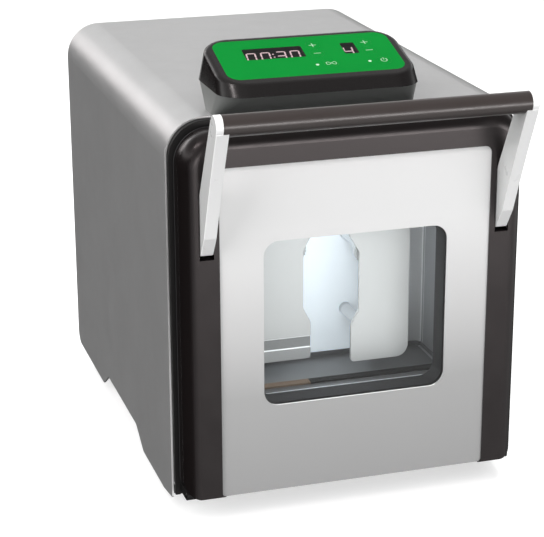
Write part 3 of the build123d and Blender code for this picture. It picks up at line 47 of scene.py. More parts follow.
# ---------------------------------------------------------------- camera
# The view: focal length in pixels of a picture this wide, place in metres, and turns in degrees.
IMAGE_WIDTH = 544
FOCAL_PIXELS = 1804.6
SENSOR_MM = 36.0
CAMERA_PLACE = (-0.43983, -1.39264, 0.63831)
CAMERA_YAW = 17.03
CAMERA_PITCH = 18.907
CAMERA_ROLL = 0.216
NEAREST, FURTHEST = 0.05, 50.0


def make_camera():
    data = bpy.data.cameras.new("camera")
    data.sensor_width = SENSOR_MM
    data.lens = FOCAL_PIXELS / IMAGE_WIDTH * SENSOR_MM
    data.clip_start = NEAREST
    data.clip_end = FURTHEST
    camera = bpy.data.objects.new("camera", data)
    turn = Euler((radians(90 - CAMERA_PITCH), 0, radians(-CAMERA_YAW))).to_matrix()
    roll = Matrix.Rotation(radians(-CAMERA_ROLL), 3, "Z")
    camera.matrix_world = Matrix.Translation(CAMERA_PLACE) @ (turn @ roll).to_4x4()
    bpy.context.scene.collection.objects.link(camera)
    bpy.context.scene.camera = camera


# ---------------------------------------------------------------- light
# Brightness of the studio's walls by height of the ray, from straight down (-1) to straight up (1).
FRONT_WALL = ((-1, 0.4), (-0.65, 0.8), (-0.52, 0.6), (-0.44, 0.3), (-0.34, 0.6), (-0.27, 0.95),
              (-0.16, 1.3), (-0.07, 1.8), (0.01, 1.8), (0.1, 0.5), (0.25, 0.12), (0.8, 0.12), (1, 0.4))
REAR_WALL = ((-1, 0.003), (-0.05, 0.003), (0.17, 0.04), (0.25, 0.9), (0.33, 1.6), (0.5, 0.7),
             (0.7, 0.3), (1, 0.4))
# Where the front wall is, and how far a ray turns from it as the rear wall takes over (as a cosine).
FRONT_DIRECTION = (0.6, -0.8, 0.0)
ALL_REAR, ALL_FRONT = -0.1, 0.7

# The lamp inside the chamber, in millimetres from the middle, the liner's front and its top, and the
# point of the rear wall that it faces, from the middle and the liner's floor.
LAMP_ACROSS, LAMP_BEHIND_FRONT, LAMP_BELOW_TOP = -15, 12, 14
LAMP_AIM_ACROSS, LAMP_AIM_ABOVE_FLOOR = 10, 65
# The light that comes in through the window starts this far behind the liner's front.
FILL_BEHIND_FRONT = 4


def aim(light, direction):
    """Point a light along the direction that its rays travel."""
    light.rotation_euler = Vector(direction).to_track_quat("-Z", "Y").to_euler()
    bpy.context.scene.collection.objects.link(light)


def soft_sun(name, direction, strength, spread):
    """A broad even light that shades the surfaces but doesn't mirror in them."""
    data = bpy.data.lights.new(name, "SUN")
    data.energy = strength
    data.angle = radians(spread)
    light = bpy.data.objects.new(name, data)
    light.visible_glossy = False
    aim(light, direction)


def softbox(name, place, target, size, power, color, mirrored=True, shading=True):
    """A rectangular light: mirrored shows it in glossy surfaces, shading lights the dull ones."""
    data = bpy.data.lights.new(name, "AREA")
    data.shape = "RECTANGLE"
    data.size, data.size_y = size
    data.energy = power
    data.color = color
    light = bpy.data.objects.new(name, data)
    light.location = place
    light.visible_glossy = mirrored
    light.visible_diffuse = shading
    light.visible_camera = False
    aim(light, Vector(target) - Vector(place))


def grey_ramp(tree, source, stops):
    """A ramp through greys, each given with its place from 0 to 1."""
    ramp = tree.nodes.new("ShaderNodeValToRGB")
    elements = ramp.color_ramp.elements
    while len(elements) < len(stops):
        elements.new(0.5)
    for element, (place, value) in zip(elements, stops):
        element.position = place
        element.color = (value, value, value, 1)
    tree.links.new(source, ramp.inputs["Fac"])
    return ramp.outputs["Color"]


def wall_light(tree, height, stops):
    """The brightness of a wall, from the height of the ray as 0 to 1."""
    return grey_ramp(tree, height, [((level + 1) / 2, value) for level, value in stops])


def make_world():
    """Soft white surroundings, bright at the front and dim at the rear left, in plain colours."""
    bpy.context.scene.view_settings.view_transform = "Standard"
    world = bpy.data.worlds.new("studio")
    world.use_nodes = True
    tree = world.node_tree
    direction = tree.nodes.new("ShaderNodeTexCoord").outputs["Generated"]
    split = tree.nodes.new("ShaderNodeSeparateXYZ")
    tree.links.new(direction, split.inputs["Vector"])
    height = tree.nodes.new("ShaderNodeMapRange")
    height.inputs["From Min"].default_value = -1
    tree.links.new(split.outputs["Z"], height.inputs["Value"])
    facing = tree.nodes.new("ShaderNodeVectorMath")
    facing.operation = "DOT_PRODUCT"
    facing.inputs[1].default_value = FRONT_DIRECTION
    tree.links.new(direction, facing.inputs[0])
    front = tree.nodes.new("ShaderNodeMapRange")
    front.interpolation_type = "SMOOTHSTEP"
    front.inputs["From Min"].default_value = ALL_REAR
    front.inputs["From Max"].default_value = ALL_FRONT
    tree.links.new(facing.outputs["Value"], front.inputs["Value"])
    first, second, result = MIX_SOCKETS["RGBA"]
    mix = tree.nodes.new("ShaderNodeMix")
    mix.data_type = "RGBA"
    tree.links.new(front.outputs["Result"], mix.inputs["Factor"])
    tree.links.new(wall_light(tree, height.outputs["Result"], REAR_WALL), mix.inputs[first])
    tree.links.new(wall_light(tree, height.outputs["Result"], FRONT_WALL), mix.inputs[second])
    tree.links.new(mix.outputs[result], tree.nodes["Background"].inputs["Color"])
    bpy.context.scene.world = world


def light_object():
    """Suns and softboxes round the object, in metres, degrees and watts."""
    soft_sun("front_sun", direction=(-0.35, 0.74, -0.57), strength=1.2, spread=50)
    soft_sun("top_sun", direction=(-0.1, 0.12, -0.99), strength=0.7, spread=80)
    soft_sun("rear_sun", direction=(-0.15, -0.9, -0.4), strength=1.6, spread=60)
    soft_sun("left_sun", direction=(0.85, 0.3, -0.43), strength=2.3, spread=50)
    softbox("rear_left_box", place=(-1.15, 2.6, 0.9), target=(0, 0, 0.3), size=(1.1, 0.9), power=5.5,
            color=(1, 0.95, 0.95))
    softbox("front_strip", place=(0.8, -2.85, 0.02), target=(0, -0.2, 0.33), size=(3.5, 0.5),
            power=45.0, color=(1, 0.96, 0.95), shading=False)
    softbox("left_high_box", place=(-1.09, -0.91, 1.77), target=(-0.1, -0.15, 0.34),
            size=(0.35, 0.35), power=6.0, color=(1, 0.92, 0.92))


def light_chamber():
    """A lamp under the chamber's top, and the light that comes in through the window."""
    low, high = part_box("chamber_liner")
    lamp = (LAMP_ACROSS * MM, low.y + LAMP_BEHIND_FRONT * MM, high.z - LAMP_BELOW_TOP * MM)
    lit_point = (LAMP_AIM_ACROSS * MM, high.y, low.z + LAMP_AIM_ABOVE_FLOOR * MM)
    softbox("chamber_lamp", lamp, lit_point, size=(0.10, 0.015), power=0.2, color=(0.97, 0.98, 1.0),
            mirrored=False)
    window_low, window_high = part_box("door_window")
    middle = (window_low + window_high) / 2
    softbox("window_fill", (middle.x, low.y + FILL_BEHIND_FRONT * MM, middle.z),
            (middle.x, high.y, middle.z), size=(0.14, 0.11), power=0.06, color=(1.0, 0.99, 0.98),
            mirrored=False)


# ---------------------------------------------------------------- material helpers
# A Mix node's two inputs and its output, for colours and for numbers.
MIX_SOCKETS = {"RGBA": (6, 7, 2), "FLOAT": (2, 3, 0)}
# The part of a noise texture's range that most of it lies in.
NOISE_RANGE = (0.3, 0.7)
EDGE_RADIUS = 0.4 * MM
EVEN = (1, 1, 1)
WHITE = (1, 1, 1)


class Surface:
    """A Principled material with short calls for the textures that vary it."""

    def __init__(self, name, color, roughness, metallic=0.0, coat=0.0, coat_roughness=0.1,
                 specular=0.5):
        self.material = bpy.data.materials.new(name)
        self.material.use_nodes = True
        self.tree = self.material.node_tree
        self.shader = self.tree.nodes["Principled BSDF"]
        self.color = color
        self.roughness = roughness
        self.set("Base Color", (*color, 1))
        self.set("Roughness", roughness)
        self.set("Metallic", metallic)
        self.set("Coat Weight", coat)
        self.set("Coat Roughness", coat_roughness)
        self.set("Specular IOR Level", specular)

    def set(self, socket, value):
        self.shader.inputs[socket].default_value = value

    def glow(self, color, strength):
        self.set("Emission Color", (*color, 1))
        self.set("Emission Strength", strength)

    def node(self, kind, **values):
        """A new node, with values for its inputs and its settings."""
        node = self.tree.nodes.new(kind)
        for key, value in values.items():
            if key in node.inputs:
                node.inputs[key].default_value = value
            else:
                setattr(node, key, value)
        return node

    def link(self, source, target):
        self.tree.links.new(source, target)

    def drive(self, socket, source):
        self.link(source, self.shader.inputs[socket])

    def noise(self, scale, stretch=EVEN, detail=4.0):
        """Noise on the object's coordinates in metres, which stretch multiplies."""
        texture = self.node("ShaderNodeTexCoord")
        mapping = self.node("ShaderNodeMapping", Scale=stretch)
        self.link(texture.outputs["Object"], mapping.inputs["Vector"])
        node = self.node("ShaderNodeTexNoise", Scale=scale, Detail=detail, Roughness=0.55)
        self.link(mapping.outputs["Vector"], node.inputs["Vector"])
        return node.outputs["Fac"]

    def span(self, source, low, high, start, end):
        """A number that goes from low to high as the source goes from start to end."""
        node = self.node("ShaderNodeMapRange", **{"From Min": start, "From Max": end,
                                                  "To Min": low, "To Max": high})
        self.link(source, node.inputs["Value"])
        return node.outputs["Result"]

    def part(self, output, axis):
        """The X, Y or Z part of the coordinates (Object, in metres) or of the direction (Normal)."""
        texture = self.node("ShaderNodeTexCoord")
        split = self.node("ShaderNodeSeparateXYZ")
        self.link(texture.outputs[output], split.inputs["Vector"])
        return split.outputs[axis]

    def math(self, operation, *values):
        """One step of arithmetic on numbers and on other nodes' outputs."""
        node = self.node("ShaderNodeMath", operation=operation)
        for socket, value in zip(node.inputs, values):
            if isinstance(value, (int, float)):
                socket.default_value = value
            else:
                self.link(value, socket)
        return node.outputs["Value"]

    def within(self, axis, low, high):
        """1 where a coordinate lies between two places, and 0 elsewhere."""
        offset = self.math("SUBTRACT", self.part("Object", axis), (low + high) / 2)
        return self.math("LESS_THAN", self.math("ABSOLUTE", offset), (high - low) / 2)

    def stripe(self, axis, middle, width):
        return self.within(axis, middle - width / 2, middle + width / 2)

    def facing(self, axis, least):
        """1 where the surface faces along an axis, either way, and 0 elsewhere."""
        return self.math("GREATER_THAN", self.math("ABSOLUTE", self.part("Normal", axis)), least)

    def both(self, one, other):
        return self.math("MULTIPLY", one, other)

    def override(self, socket, mask, value, kind="FLOAT"):
        """Give a shader input that a texture drives another value where the mask is 1."""
        target = self.shader.inputs[socket]
        first, second, result = MIX_SOCKETS[kind]
        mix = self.node("ShaderNodeMix", data_type=kind)
        self.link(mask, mix.inputs["Factor"])
        self.link(target.links[0].from_socket, mix.inputs[first])
        mix.inputs[second].default_value = value
        self.link(mix.outputs[result], target)

    def recolor(self, mask, color):
        """Lay another colour over what the base has, where the mask is 1."""
        self.override("Base Color", mask, (*color, 1), "RGBA")

    def vary_color(self, source, amount):
        """Vary the base colour by this share either way."""
        low = [part * (1 - amount) for part in self.color]
        high = [min(1.0, part * (1 + amount)) for part in self.color]
        ramp = self.node("ShaderNodeValToRGB")
        for element, place, color in zip(ramp.color_ramp.elements, NOISE_RANGE, (low, high)):
            element.position = place
            element.color = (*color, 1)
        self.link(source, ramp.inputs["Fac"])
        self.drive("Base Color", ramp.outputs["Color"])

    def vary_roughness(self, source, amount):
        """Vary the roughness by this share either way."""
        low, high = self.roughness * (1 - amount), self.roughness * (1 + amount)
        self.drive("Roughness", self.span(source, low, high, *NOISE_RANGE))

    def bump(self, source, distance, edges=True):
        node = self.node("ShaderNodeBump", Distance=distance)
        self.link(source, node.inputs["Height"])
        if edges:
            self.soft_edges(node.inputs["Normal"])
        self.drive("Normal", node.outputs["Normal"])

    def soft_edges(self, socket=None):
        """Round the look of the edges, through a bump or straight to the shader."""
        node = self.node("ShaderNodeBevel", samples=4, Radius=EDGE_RADIUS)
        self.link(node.outputs["Normal"], socket or self.shader.inputs["Normal"])


def paint(name, color, roughness, tone=0.04, gloss=0.12, grain=700, grain_depth=0.06 * MM,
          edges=True, **finish):
    """Paint or moulding with a fine grain, whose tone and gloss vary by these shares, broadly."""
    surface = Surface(name, color, roughness, **finish)
    surface.vary_color(surface.noise(9, detail=3), tone)
    surface.vary_roughness(surface.noise(40, detail=5), gloss)
    surface.bump(surface.noise(grain, detail=2), grain_depth, edges)
    return surface


def brushed(name, color, roughness):
    """Bare metal with fine lines that run level."""
    surface = Surface(name, color, roughness, metallic=1.0)
    surface.set("Anisotropic", 0.3)
    lines = surface.noise(12, stretch=(4, 4, 260), detail=6)
    surface.vary_color(lines, 0.06)
    surface.vary_roughness(lines, 0.25)
    surface.bump(lines, 0.02 * MM)
    return surface


def rubber(name, color, roughness=0.65, specular=0.35):
    """Dull rubber or silicone with a very fine grain."""
    surface = Surface(name, color, roughness, specular=specular)
    surface.vary_color(surface.noise(120), 0.15)
    surface.bump(surface.noise(1400, detail=2), 0.05 * MM)
    return surface


def assign(surface, *names):
    """Give CAD pieces their material."""
    for name in names:
        piece = nodes[name]
        piece.data.materials.clear()
        piece.data.materials.append(surface.material)


def make_floor():
    """A pale floor that glows a little and isn't mirrored in the object."""
    half = 6.0
    mesh = bpy.data.meshes.new("floor")
    corners = [(-half, -half, 0), (half, -half, 0), (half, half, 0), (-half, half, 0)]
    mesh.from_pydata(corners, [], [(0, 1, 2, 3)])
    floor = bpy.data.objects.new("floor", mesh)
    bpy.context.scene.collection.objects.link(floor)
    floor.visible_diffuse = False
    floor.visible_glossy = False
    surface = Surface("floor_white", (0.55, 0.55, 0.55), 0.08)
    surface.glow(WHITE, 0.62)
    surface.vary_roughness(surface.noise(2), 0.2)
    mesh.materials.append(surface.material)


# ---------------------------------------------------------------- marks on the CAD pieces, in millimetres
# The sheet's bare cut edge at the casing's front, lightened as a painted highlight: its depth, and the
# heights between which the painted highlight fades.
CUT_HIGHLIGHT_DEPTH = 0.6
CUT_HIGHLIGHT_FULL_TO, CUT_HIGHLIGHT_GONE_AT = 90, 190
# The left paddle's stiffening bend, as heights, and the painted highlight lines along its edges.
BEND_LOW, BEND_HIGH = 108.3, 117.6
BEND_HIGHLIGHT_WIDTH = 0.8
# The rear wall's skin, and the share of the paddle's reach that the painted bright reflection on it takes
# up.
REAR_SKIN = 3
GLOW_PATCH_SHARE = 0.8
# The liner's painted highlight lines on its folds: from the middle on the rear wall, and in front of it
# on the sides.
REAR_HIGHLIGHT_LINE = 95
SIDE_HIGHLIGHT_LINE = 6.5
FOLD_HIGHLIGHT_WIDTH = 0.8
# The tray's painted highlight along its front lip, before and behind the tray's front, and the share of
# its strip that stays tan, the rest being painted shade.
LIP_HIGHLIGHT_BEFORE, LIP_HIGHLIGHT_BEHIND = 1, 1.2
TAN_SHARE = 0.38
# The painted glow given to the bright patch on the rear wall and to the seals in front of it, which are
# no lamps.
PAINTED_GLOW_TINT = (0.88, 0.95, 1.0)
PAINTED_GLOW = 0.25
# Greys of the door's plate by height, from its lower edge (0) to its upper edge (1).
PLATE_GREYS = ((0.0, 0.34), (0.3, 0.40), (0.5, 0.58), (0.8, 0.80), (1.0, 0.86))


def dress_casing():
    assign(casing_grey(), "casing_cover", "rear_panel")
    assign(paint("black_sheet", (0.010, 0.0095, 0.0095), 0.5, specular=0.2), "front_bulkhead",
           "hinge_brackets")
    assign(brushed("zinc_plate", (0.60, 0.60, 0.60), 0.38),
           "base_plate", "catch_plates", "door_hinge_leaves", "motor_bracket", "yoke_left",
           "yoke_right")
    assign(rubber("foot_rubber", (0.018, 0.018, 0.018)), "rubber_feet", "window_gasket",
           "drive_belt")
    assign(brushed("bright_steel", (0.68, 0.68, 0.68), 0.22), "rear_panel_screws", "foot_screws",
           "hinge_pins", "handle_pivot_pins", "push_rods_left", "push_rods_right", "crankshaft",
           "crank_rollers", "crank_bearings", "door_magnets")


def casing_grey():
    """Grained metallic grey. The sheet's bare cut front edge carries a painted highlight that fades out
    going up.
    """
    surface = paint("casing_grey", (0.44, 0.44, 0.44), 0.32, tone=0.03, gloss=0.1, grain=1100,
                    grain_depth=0.08 * MM, metallic=0.5)
    # Painted highlight: the cut front edge is near white low down and fades to nothing higher up.
    cut = surface.stripe("Y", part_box("casing_cover")[0].y, CUT_HIGHLIGHT_DEPTH * MM)
    cut_highlight_fade = surface.span(surface.part("Object", "Z"), 1, 0, CUT_HIGHLIGHT_FULL_TO * MM, CUT_HIGHLIGHT_GONE_AT * MM)
    surface.recolor(surface.both(cut, cut_highlight_fade), (0.9, 0.9, 0.9))
    return surface


def dress_door():
    assign(door_moulding(), "door_frame")
    assign(paint("inner_moulding", (0.03, 0.03, 0.031), 0.6, specular=0.3), "door_inner_panel")
    assign(silver_plate(), "door_plate")
    assign(clear_pane("clear_pane", (0.96, 0.98, 0.985)), "door_window")
    assign(rubber("black_silicone", (0.03, 0.03, 0.03)), "door_seal")
    assign(white_silicone(), "rod_wipers")
    assign(paint("bar_coating", (0.041, 0.032, 0.030), 0.32, grain=500, grain_depth=0.02 * MM,
                 specular=0.65), "handle_bar")
    assign(arm_white(), "handle_arm_left", "handle_arm_right")
    assign(brushed("bush_bronze", (0.50, 0.33, 0.16), 0.35), "handle_pivot_bushes", "rod_bushes")


def white_silicone():
    """Milky seals with a painted glow that matches the painted bright patch behind them; they are no
    lamps.
    """
    surface = Surface("white_silicone", (0.90, 0.93, 0.95), 0.6)
    surface.vary_color(surface.noise(120), 0.02)
    # Painted glow, the same as the painted reflection on the rear wall.
    surface.glow(PAINTED_GLOW_TINT, PAINTED_GLOW)
    return surface


def arm_white():
    """White moulding, with painted shade that makes the flat sides greyer."""
    surface = paint("arm_white", (0.95, 0.95, 0.95), 0.3, tone=0.02, grain=300, grain_depth=0.01 * MM,
                    coat=0.3)
    # Painted shade on the faces that look across, to the sides.
    surface.recolor(surface.facing("X", 0.95), (0.66, 0.665, 0.66))
    return surface


def door_moulding():
    """Satin brown-black, glossier on its turned sides, with a dull dark grey reveal at the window."""
    surface = paint("door_moulding", (0.007, 0.0055, 0.0055), 0.32, tone=0.06, grain=900,
                    grain_depth=0.03 * MM, edges=False)
    surface.set("Specular Tint", (1.0, 0.92, 0.925, 1))
    low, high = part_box("door_window")
    reveal = surface.both(surface.within("X", low.x, high.x), surface.within("Z", low.z, high.z))
    surface.recolor(reveal, (0.022, 0.022, 0.023))
    surface.override("Roughness", surface.facing("X", 0.45), 0.22)
    surface.override("Roughness", reveal, 0.7)
    return surface


def silver_plate():
    """A glossy silver sheet, near white at the top and mid grey below, with painted highlights on the cut
    edges that face up or down.
    """
    low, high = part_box("door_plate")
    surface = Surface("silver_plate", (0.6, 0.6, 0.6), 0.22, coat=0.6, coat_roughness=0.03)
    height = surface.span(surface.part("Object", "Z"), 0, 1, low.z, high.z)
    surface.drive("Base Color", grey_ramp(surface.tree, height, PLATE_GREYS))
    # Painted highlight on the edge faces that look up or down.
    surface.recolor(surface.facing("Z", 0.9), WHITE)
    surface.vary_roughness(surface.noise(30), 0.1)
    return surface


def clear_pane(name, tint, metallic=0.0):
    """A clear sheet: see-through, with a sharp reflection that grows at a slant."""
    surface = Surface(name, WHITE, 0.02, metallic=metallic)
    surface.material.blend_method = "BLEND"
    through = surface.node("ShaderNodeBsdfTransparent", Color=(*tint, 1))
    mix = surface.node("ShaderNodeMixShader")
    fresnel = surface.node("ShaderNodeFresnel", IOR=1.35)
    surface.link(fresnel.outputs["Fac"], mix.inputs["Fac"])
    surface.link(through.outputs["BSDF"], mix.inputs[1])
    surface.link(surface.shader.outputs["BSDF"], mix.inputs[2])
    output = surface.tree.nodes["Material Output"]
    surface.link(mix.outputs["Shader"], output.inputs["Surface"])
    return surface


def dress_chamber():
    assign(liner_steel(), "chamber_liner")
    assign(tray_steel(), "drip_tray")
    assign(paddle_steel("paddle_steel"), "paddle_right")
    assign(paddle_steel("paddle_steel_bent", bent=True), "paddle_left")
    assign(tray_silicone(), "tray_strip")


def paddle_steel(name, bent=False):
    """Satin steel. A bent paddle has painted shade from the bend down, darkest on the bend itself, and a
    painted highlight line at each edge of the bend.
    """
    surface = Surface(name, (0.50, 0.495, 0.49), 0.36, metallic=0.3)
    surface.vary_color(surface.noise(12, stretch=(3, 3, 220), detail=3), 0.015)
    if bent:
        # Painted shade below and on the bend, then painted highlight lines at its two edges.
        surface.recolor(surface.within("Z", 0, BEND_LOW * MM), (0.36, 0.36, 0.36))
        surface.recolor(surface.within("Z", BEND_LOW * MM, BEND_HIGH * MM), (0.24, 0.24, 0.24))
        for height in (BEND_LOW, BEND_HIGH):
            surface.recolor(surface.stripe("Z", height * MM, BEND_HIGHLIGHT_WIDTH * MM), WHITE)
    surface.vary_roughness(surface.noise(40), 0.1)
    surface.soft_edges()
    return surface


def liner_steel():
    """Grey steel walls. The rear wall is painted lighter, with painted highlight lines on the folds and a
    bluish-white patch in its middle that is painted reflection and glows though it is no lamp.
    """
    surface = Surface("liner_steel", (0.42, 0.422, 0.43), 0.42, metallic=0.5)
    surface.vary_color(surface.noise(12, stretch=(3, 3, 160), detail=3), 0.02)
    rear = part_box("chamber_liner")[1].y
    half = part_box("paddle_right")[1].x * GLOW_PATCH_SHARE
    rear_wall = surface.within("Y", rear - REAR_SKIN * MM, rear)
    glow_patch = surface.both(surface.within("X", -half, half), rear_wall)
    # Painted reflection: the rear wall is lightened, the fold lines are painted highlights, and the
    # middle patch is painted bluish-white and glows.
    surface.recolor(rear_wall, (0.78, 0.78, 0.78))
    for side in (-1, 1):
        line = surface.stripe("X", side * REAR_HIGHLIGHT_LINE * MM, FOLD_HIGHLIGHT_WIDTH * MM)
        surface.recolor(surface.both(line, rear_wall), WHITE)
    surface.recolor(surface.stripe("Y", rear - SIDE_HIGHLIGHT_LINE * MM, FOLD_HIGHLIGHT_WIDTH * MM), WHITE)
    surface.recolor(glow_patch, (0.90, 0.95, 1.0))
    surface.set("Emission Color", (*PAINTED_GLOW_TINT, 1))
    surface.drive("Emission Strength", surface.span(glow_patch, 0, PAINTED_GLOW, 0, 1))
    surface.drive("Metallic", surface.span(glow_patch, 0.5, 0.0, 0, 1))
    surface.vary_roughness(surface.noise(30), 0.1)
    surface.soft_edges()
    return surface


def tray_steel():
    """Dull steel with a painted highlight along its front lip."""
    surface = Surface("tray_steel", (0.155, 0.155, 0.157), 0.34, metallic=0.5)
    surface.vary_color(surface.noise(12, stretch=(160, 3, 3), detail=3), 0.03)
    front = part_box("drip_tray")[0].y
    # Painted highlight: the front lip is coloured white.
    surface.recolor(surface.within("Y", front - LIP_HIGHLIGHT_BEFORE * MM, front + LIP_HIGHLIGHT_BEHIND * MM), WHITE)
    surface.vary_roughness(surface.noise(30), 0.1)
    surface.soft_edges()
    return surface


def tray_silicone():
    """A tan strip; painted shade makes it nearly black along all but its left end."""
    # The nearly black base colour is painted shade over the strip's own tan.
    surface = rubber("tray_silicone", (0.010, 0.009, 0.008), roughness=0.6, specular=0.1)
    low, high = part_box("tray_strip")
    tan_end = low.x + (high.x - low.x) * TAN_SHARE
    surface.recolor(surface.within("X", low.x, tan_end), (0.15, 0.105, 0.072))
    return surface


def dress_drive():
    assign(paint("machined_aluminium", (0.62, 0.62, 0.63), 0.35, metallic=0.9),
           "drive_frame", "guide_block", "crank_pulley", "motor_pulley")
    assign(paint("motor_enamel", (0.05, 0.055, 0.06), 0.4), "motor")
    assign(paint("board_green", (0.02, 0.11, 0.05), 0.4), "control_board", "display_board")


def dress_console():
    assign(paint("head_gloss", (0.009, 0.0075, 0.0075), 0.22, grain=300, grain_depth=0.01 * MM,
                 coat=0.1, edges=False), "console_head")
    assign(paint("neck_satin", (0.16, 0.166, 0.161), 0.42), "console_neck")
    keys = [name for name in nodes if name.startswith("key_")]
    assign(membrane_green(), "control_membrane", *keys)
    assign(clear_pane("smoked_window", (0.70, 0.66, 0.67), metallic=1.0), "display_windows")
    assign(paint("fitting_black", (0.015, 0.015, 0.015), 0.4), "power_inlet", "switch_housing",
           "power_switch", "door_sensor")


def membrane_green():
    """Saturated green film with hardly any gloss."""
    surface = Surface("membrane_green", (0.0, 0.225, 0.028), 0.3, specular=0.02)
    surface.vary_color(surface.noise(14, detail=2), 0.05)
    surface.bump(surface.noise(900, detail=2), 0.01 * MM)
    return surface


# ---------------------------------------------------------------- flat shapes
# A shape is its points, across and up the slope in millimetres, and its faces.
def polygon(*points):
    return list(points), [list(range(len(points)))]


def rectangle(left, middle, width, height):
    """A rectangle from its left edge and the middle of its height."""
    right, low, high = left + width, middle - height / 2, middle + height / 2
    return polygon((left, low), (right, low), (right, high), (left, high))


def arc(radius, start, end, steps=24):
    angles = [radians(start + (end - start) * step / steps) for step in range(steps + 1)]
    return [(radius * cos(angle), radius * sin(angle)) for angle in angles]


def disc(x, y, radius, sides=24):
    return polygon(*[(x + across, y + up) for across, up in arc(radius, 0, 360, sides)[:-1]])


def ribbon(path, width, closed):
    """A strip of even width along a path."""
    count = len(path)
    points = []
    for index, (x, y) in enumerate(path):
        ahead = path[(index + 1) % count if closed else min(index + 1, count - 1)]
        behind = path[index - 1 if closed else max(index - 1, 0)]
        dx, dy = ahead[0] - behind[0], ahead[1] - behind[1]
        size = hypot(dx, dy)
        nx, ny = -dy / size * width / 2, dx / size * width / 2
        points += [(x - nx, y - ny), (x + nx, y + ny)]
    faces = []
    for index in range(count if closed else count - 1):
        a, b = 2 * index, 2 * ((index + 1) % count)
        faces.append([a, b, b + 1, a + 1])
    return points, faces


def join(*shapes):
    """Several shapes as one."""
    points, faces = [], []
    for shape_points, shape_faces in shapes:
        start = len(points)
        points += shape_points
        faces += [[start + index for index in face] for face in shape_faces]
    return points, faces


def shifted(shape, rise):
    """The same shape further up the slope."""
    points, faces = shape
    return [(x, y + rise) for x, y in points], faces


def raised(name, shape, place, lift, thickness, surface, body):
    """A shape as a thin closed solid on the console, which rides on a body."""
    points, faces = shape
    count = len(points)
    solid = [place(x, y, lift + rise) for rise in (0, thickness) for x, y in points]
    edges = [(a, b) for face in faces for a, b in zip(face, face[1:] + face[:1])]
    known = set(edges)
    walls = [(a, b, b + count, a + count) for a, b in edges if (b, a) not in known]
    tops = [tuple(index + count for index in face) for face in faces]
    bottoms = [tuple(reversed(face)) for face in faces]
    mesh = bpy.data.meshes.new(name)
    mesh.from_pydata([tuple(point) for point in solid], [], tops + bottoms + walls)
    mesh.update()
    mesh.materials.append(surface.material)
    piece = bpy.data.objects.new(name, mesh)
    bpy.context.scene.collection.objects.link(piece)
    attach(piece, body)


# ---------------------------------------------------------------- places on the console
# Directions out of the label and up its slope, and its thickness in millimetres.
outward = -Vector(joints["key_power_press"]["axis"])
up_slope = Vector((0, outward.z, -outward.y))
LABEL_THICKNESS = 0.8


def on_face(centre):
    """A function from millimetres across, up the slope and outward to a place in metres."""
    def place(x, along, lift):
        return centre + (Vector((x, 0, 0)) + up_slope * along + outward * lift) * MM
    return place


def label_face():
    """Places on the label, from the middle of its outer face."""
    low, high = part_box("control_membrane")
    return on_face((low + high) / 2 + outward * LABEL_THICKNESS / 2 * MM)


def key_face(key):
    """Places on a round key, from the middle of its outer face."""
    low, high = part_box(key)
    radius = (high.x - low.x) / 2
    middle = (low.x + high.x) / 2
    return on_face(Vector((middle, low.y + radius * up_slope.y, high.z - radius * up_slope.z)))


# ---------------------------------------------------------------- displays
# Windows on the label in millimetres from its middle: left edge, middle height, width and height.
TIME_WINDOW = (-48.5, 7.2, 46.5, 16.7)
SPEED_WINDOW = (29.1, 7.2, 11.2, 16.7)
# The dark well under a window: its depth, the gap round it, its wall and floor, and the gap above it.
WELL_DEPTH = 2.9
WELL_GAP = 0.1
WELL_WALL = 0.3
WELL_FLOOR = 0.05
WELL_TOP_GAP = 0.1
# Digits, from a window's left edge, and the two dots between hours and minutes.
TIME_DIGITS = (3.0, 14.2, 26.4, 37.4)
TIME_DOTS = ((23.8, 3.2), (23.8, -1.2))
SPEED_DIGITS = (2.2,)
DIGIT_WIDTH = 6.6
DIGIT_HEIGHT = 12.4
DIGIT_STROKE = 1.15
DIGIT_SLANT = 0.09
DIGIT_LIFT = 0.01
DIGIT_THICKNESS = 0.1
DOT_RADIUS = 0.6 * DIGIT_STROKE
SEGMENT_GAP = 0.12
SEGMENTS = {"0": "abcdef", "3": "abcdg", "4": "bcfg"}


def segment(start, end):
    """One bar of a digit, pointed at both ends."""
    dx, dy = end[0] - start[0], end[1] - start[1]
    size = hypot(dx, dy)
    ux, uy = dx / size, dy / size
    half = DIGIT_STROKE / 2

    def at(along, across):
        x = start[0] + ux * along - uy * across
        y = start[1] + uy * along + ux * across
        return x + y * DIGIT_SLANT, y
    first, last = SEGMENT_GAP, size - SEGMENT_GAP
    return polygon(at(first, 0), at(first + half, -half), at(last - half, -half), at(last, 0),
                   at(last - half, half), at(first + half, half))


def digit(character, left):
    half = DIGIT_HEIGHT / 2
    right = left + DIGIT_WIDTH
    bars = {"a": ((left, half), (right, half)), "g": ((left, 0), (right, 0)),
            "d": ((left, -half), (right, -half)), "f": ((left, 0), (left, half)),
            "b": ((right, 0), (right, half)), "e": ((left, -half), (left, 0)),
            "c": ((right, -half), (right, 0))}
    return [segment(*bars[bar]) for bar in SEGMENTS[character]]


def lit():
    """The pale pink of a digit's bars, which glow."""
    surface = Surface("lit_bar", (0.60, 0.42, 0.44), 0.4)
    surface.glow((0.90, 0.74, 0.76), 0.9)
    surface.vary_color(surface.noise(500, detail=2), 0.06)
    return surface


